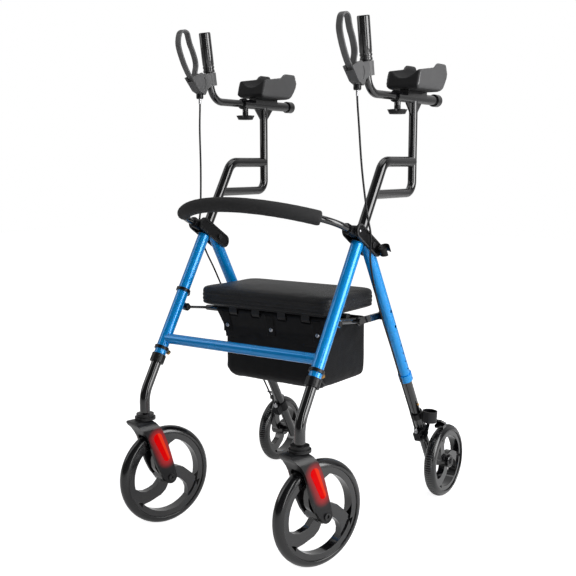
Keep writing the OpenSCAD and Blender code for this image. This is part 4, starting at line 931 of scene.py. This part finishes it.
cloth_band("bag_sleeve", 96, 44, sleeve_place, 0.0013, nylon_cloth, at_knuckle)
tab_line = ([Vector((bag_front - 0.0034, 0.484)), Vector((bag_front - 0.0040, 0.500))]
            + round_tube(0.0092, 205, 196, 3))
tab_half, tab_places, tab_snap_z = 0.0125, (-0.140, 0.0, 0.140), 0.501
snap_profile = ((0, 0.0014), (0.0014, 0.0013), (0.0018, 0.0006), (0.0026, 0.0006), (0.0033, 0.0021),
                (0.0044, 0.0021), (0.0056, 0.0010), (0.0058, 0), (0, 0))
for tab_index, tab_x in enumerate(tab_places):
    cloth_band(f"bag_tab_{tab_index}", 8, 24,
               lambda u, v: Vector((tab_x + tab_half * u, *along_line(tab_line, v))), 0.0013, webbing)
    snap_at = (tab_x, bag_front - 0.0046, tab_snap_z)
    snap = turned(f"bag_snap_{tab_index}", snap_profile, snap_at, (0, -1, 0), 28)
    dress_piece(snap, zinc, "seat_link", "bag")

strap_y, strap_half, strap_snap_z = -0.066, 0.0135, 0.503
strap_line = [Vector((bag_half + 0.0016, 0.494)), Vector((bag_half + 0.0018, 0.512)),
              Vector((bag_half + 0.008, 0.521)), Vector((0.178, 0.526)), Vector((0.1985, 0.5335))]
side_piping = ((-0.1115, 0.519), (-0.1120, 0.460), (-0.1120, 0.410), (-0.1040, 0.384), (-0.0720, 0.366),
               (0.0, 0.361), (0.0600, 0.362), (0.0850, 0.374), (0.0955, 0.402), (0.0960, 0.460),
               (0.0955, 0.519))
for side, sign in SIDES:
    def strap_place(u, v):
        at = along_line(strap_line, v)
        return Vector((sign * at.x, strap_y + strap_half * u, at.y))

    cloth_band("bag_strap_" + side, 8, 20, strap_place, 0.0014, webbing)
    snap_at = (sign * (bag_half + 0.0026), strap_y, strap_snap_z)
    strap_snap = turned("bag_strap_snap_" + side, snap_profile, snap_at, (sign, 0, 0), 28)
    dress_piece(strap_snap, zinc, "seat_link", "bag")
    seam = [bag_shape.find_nearest(Vector((sign * (bag_half - 0.004), y, z)))[0] for y, z in side_piping]
    piping = tube_along("bag_piping_" + side, smooth_route(seam, 6), 0.0019)
    dress_piece(piping, piping_cloth, "seat_link", "bag")
rim_turns = [math.radians(6 * step) for step in range(60)]
rim_square = 0.16
rim_seam = []
for turn in rim_turns:
    side_share = math.copysign(abs(math.cos(turn)) ** rim_square, math.cos(turn))
    rear_share = math.copysign(abs(math.sin(turn)) ** rim_square, math.sin(turn))
    rim_knot = Vector((bag_half * side_share, bag_mid_y + (bag_rear - bag_mid_y) * rear_share, bag_rim))
    rim_seam.append(bag_shape.find_nearest(rim_knot)[0])
binding = tube_along("bag_binding", rim_seam + rim_seam[:1], 0.0017)
dress_piece(binding, piping_cloth, "seat_link", "bag")

# The backrest's foam sleeve, slid over the middle of the bow.
# Closed-cell foam with a fine skin and rounded ends.
back_foam = soft_copy("backrest_pad", "backrest_foam", 0.004, 6)
foam_skin = finish("foam skin", (0.05, 0.05, 0.051), (0.065, 0.065, 0.066), 0.65, 800, 0.00015,
                   spread=0.1, specular=0.1)
dress_piece(back_foam, foam_skin, "frame", "backrest_pad")

# The forearm rests: moulded foam troughs with raised humps along their walls.
# Grey self-skinned polyurethane; the trough is painted darker as painted shade, and the outer front corners
# and the edges are painted pale as painted highlights.
trough_shade_half, trough_shade_edge = 0.0375, 0.0445
painted_highlight_way = (0.8, -0.6)


def rest_painted_light_group():
    group, nodes, links, given, made = shader_group(
        "rest painted shade and highlight",
        (("Color", "Color", (0.1, 0.1, 0.1, 1)), ("Painted Shade Color", "Color", (0.02, 0.02, 0.02, 1)),
         ("Painted Highlight Color", "Color", (0.4, 0.4, 0.4, 1))), (("Color", "Color"),))
    place = nodes.new("ShaderNodeTexCoord")
    shape = nodes.new("ShaderNodeNewGeometry")
    spot, facing = nodes.new("ShaderNodeSeparateXYZ"), nodes.new("ShaderNodeSeparateXYZ")
    outward = math_node(nodes, "SIGN")
    aside = math_node(nodes, "ABSOLUTE")
    centred = math_node(nodes, "SUBTRACT", None, half_track)
    off = math_node(nodes, "ABSOLUTE")
    # Painted shade: within 37.5 mm of the rest's middle the trough is painted in the darker colour.
    wall = ramp_node(nodes, trough_shade_half, trough_shade_edge)
    out = math_node(nodes, "MULTIPLY")
    # Painted highlight: faces turned towards the outer front corner are painted pale.
    ahead = math_node(nodes, "MULTIPLY", None, painted_highlight_way[1])
    corner = math_node(nodes, "MULTIPLY_ADD", None, painted_highlight_way[0])
    pale_mask = ramp_node(nodes, 0.955, 0.985)
    painted_shade_mix, tone_step = nodes.new("ShaderNodeMix"), nodes.new("ShaderNodeMix")
    painted_shade_mix.data_type = tone_step.data_type = "RGBA"
    links.new(place.outputs["Object"], spot.inputs[0])
    links.new(shape.outputs["Normal"], facing.inputs[0])
    links.new(spot.outputs["X"], outward.inputs[0])
    links.new(spot.outputs["X"], aside.inputs[0])
    links.new(aside.outputs[0], centred.inputs[0])
    links.new(centred.outputs[0], off.inputs[0])
    links.new(off.outputs[0], wall.inputs["Value"])
    links.new(outward.outputs[0], out.inputs[0])
    links.new(facing.outputs["X"], out.inputs[1])
    links.new(facing.outputs["Y"], ahead.inputs[0])
    links.new(out.outputs[0], corner.inputs[0])
    links.new(ahead.outputs[0], corner.inputs[2])
    links.new(corner.outputs[0], pale_mask.inputs["Value"])
    links.new(wall.outputs[0], painted_shade_mix.inputs[0])
    links.new(given.outputs["Painted Shade Color"], painted_shade_mix.inputs[6])
    links.new(given.outputs["Color"], painted_shade_mix.inputs[7])
    links.new(pale_mask.outputs[0], tone_step.inputs[0])
    links.new(painted_shade_mix.outputs[2], tone_step.inputs[6])
    links.new(given.outputs["Painted Highlight Color"], tone_step.inputs[7])
    links.new(tone_step.outputs[2], made.inputs["Color"])
    return group


# The rest's edges are painted paler, a painted highlight along the scoop rim and the front crease.
rest_skin = finish("rest skin", (0.11, 0.11, 0.112), (0.26, 0.26, 0.262), 0.5, 900, 0.00003, wear=0.1,
                   spread=0.1, specular=0.15, edge=0.8, edge_radius=0.005)
nodes, links = rest_skin.node_tree.nodes, rest_skin.node_tree.links
rest_painted_light = nodes.new("ShaderNodeGroup")
rest_painted_light.node_tree = rest_painted_light_group()
# The darker colour is painted shade in the trough, the pale one a painted highlight on the outer front
# corner.
rest_painted_light.inputs["Painted Shade Color"].default_value = (0.024, 0.024, 0.025, 1)
rest_painted_light.inputs["Painted Highlight Color"].default_value = (0.42, 0.42, 0.422, 1)
links.new(nodes["Principled BSDF"].inputs["Base Color"].links[0].from_socket, rest_painted_light.inputs["Color"])
links.new(rest_painted_light.outputs["Color"], nodes["Principled BSDF"].inputs["Base Color"])
for side, sign in SIDES:
    rest = soft_copy("armrest_" + side, "forearm_rest_" + side, 0.0025, 4)
    dress_piece(rest, rest_skin, "post_" + side, "armrest_" + side)

# The grips: smooth gloss rubber sleeves with a flat capped top and two rings at the foot.
# Moulded in one and pushed over the handle tubes.
grip_rubber = finish("grip rubber", (0.012, 0.012, 0.013), (0.02, 0.02, 0.02), 0.2, 900, 0.000004, coat=1.0,
                     coat_roughness=0.06, specular=0.4, coat_ior=1.7)
grip_foot, grip_tilt = (-0.0485, 1.0745), math.radians(9.3)
grip_way = Vector((0, -math.sin(grip_tilt), math.cos(grip_tilt)))
grip_low, grip_high = 0.073, 0.173
grip_rings = ((0.0097, 0), (0.0142, 0), (0.0150, 0.0012), (0.0150, 0.0060), (0.0138, 0.0072),
              (0.0138, 0.0100), (0.0150, 0.0112), (0.0150, 0.0150), (0.0140, 0.0162),
              (0.0140, 0.0180), (0.0148, 0.0192), (0.0150, 0.0400))
grip_cap = ((0.0150, 0.0040), (0.0147, 0.0018), (0.0138, 0.0005), (0.0120, 0), (0, 0))
grip_profile = ([(radius, grip_low + rise) for radius, rise in grip_rings]
                + [(radius, grip_high - drop) for radius, drop in grip_cap])
for side, sign in SIDES:
    grip = turned("grip_sleeve_" + side, grip_profile, (sign * half_track, *grip_foot), grip_way, 48)
    dress_piece(grip, grip_rubber, "handle_" + side, "grip_" + side)

# The brake levers and their housings: loops of ribbed dark grey nylon, and grey faceted cases.
# Moulded, with eased edges that are rubbed lighter.
lever_nylon = finish("lever nylon", (0.15, 0.15, 0.152), (0.22, 0.22, 0.222), 0.4, 500, 0.0001, wear=0.4,
                     specular=0.4, edge=0.4)
case_nylon = finish("grey case nylon", (0.13, 0.13, 0.132), (0.2, 0.2, 0.2), 0.42, 1500, 0.00005, wear=0.25,
                    specular=0.35, edge=0.5)
dress(["lever_left", "lever_right"], lever_nylon, 0.001)
dress(["brake_housing_left", "brake_housing_right"], case_nylon, 0.001)

# The noses under the housings that the cables enter: short black sleeves with a rolled lip.
# Turned nylon, pushed over the case's own spigot.
nose_profile = ((0.0040, 0.011), (0.0082, 0.011), (0.0092, 0.009), (0.0092, 0.001), (0.0086, -0.001),
                (0.0060, -0.0022), (0.0040, -0.0022), (0.0040, 0.011))
nose_lift = 0.002
for side, sign in SIDES:
    case_low = min(v.co.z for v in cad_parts["brake_housing_" + side].data.vertices)
    nose_at = (sign * half_track, cable_y, case_low + nose_lift)
    nose = turned("cable_nose_" + side, nose_profile, nose_at, (0, 0, 1), 32)
    dress_piece(nose, black_nylon, "handle_" + side, None)
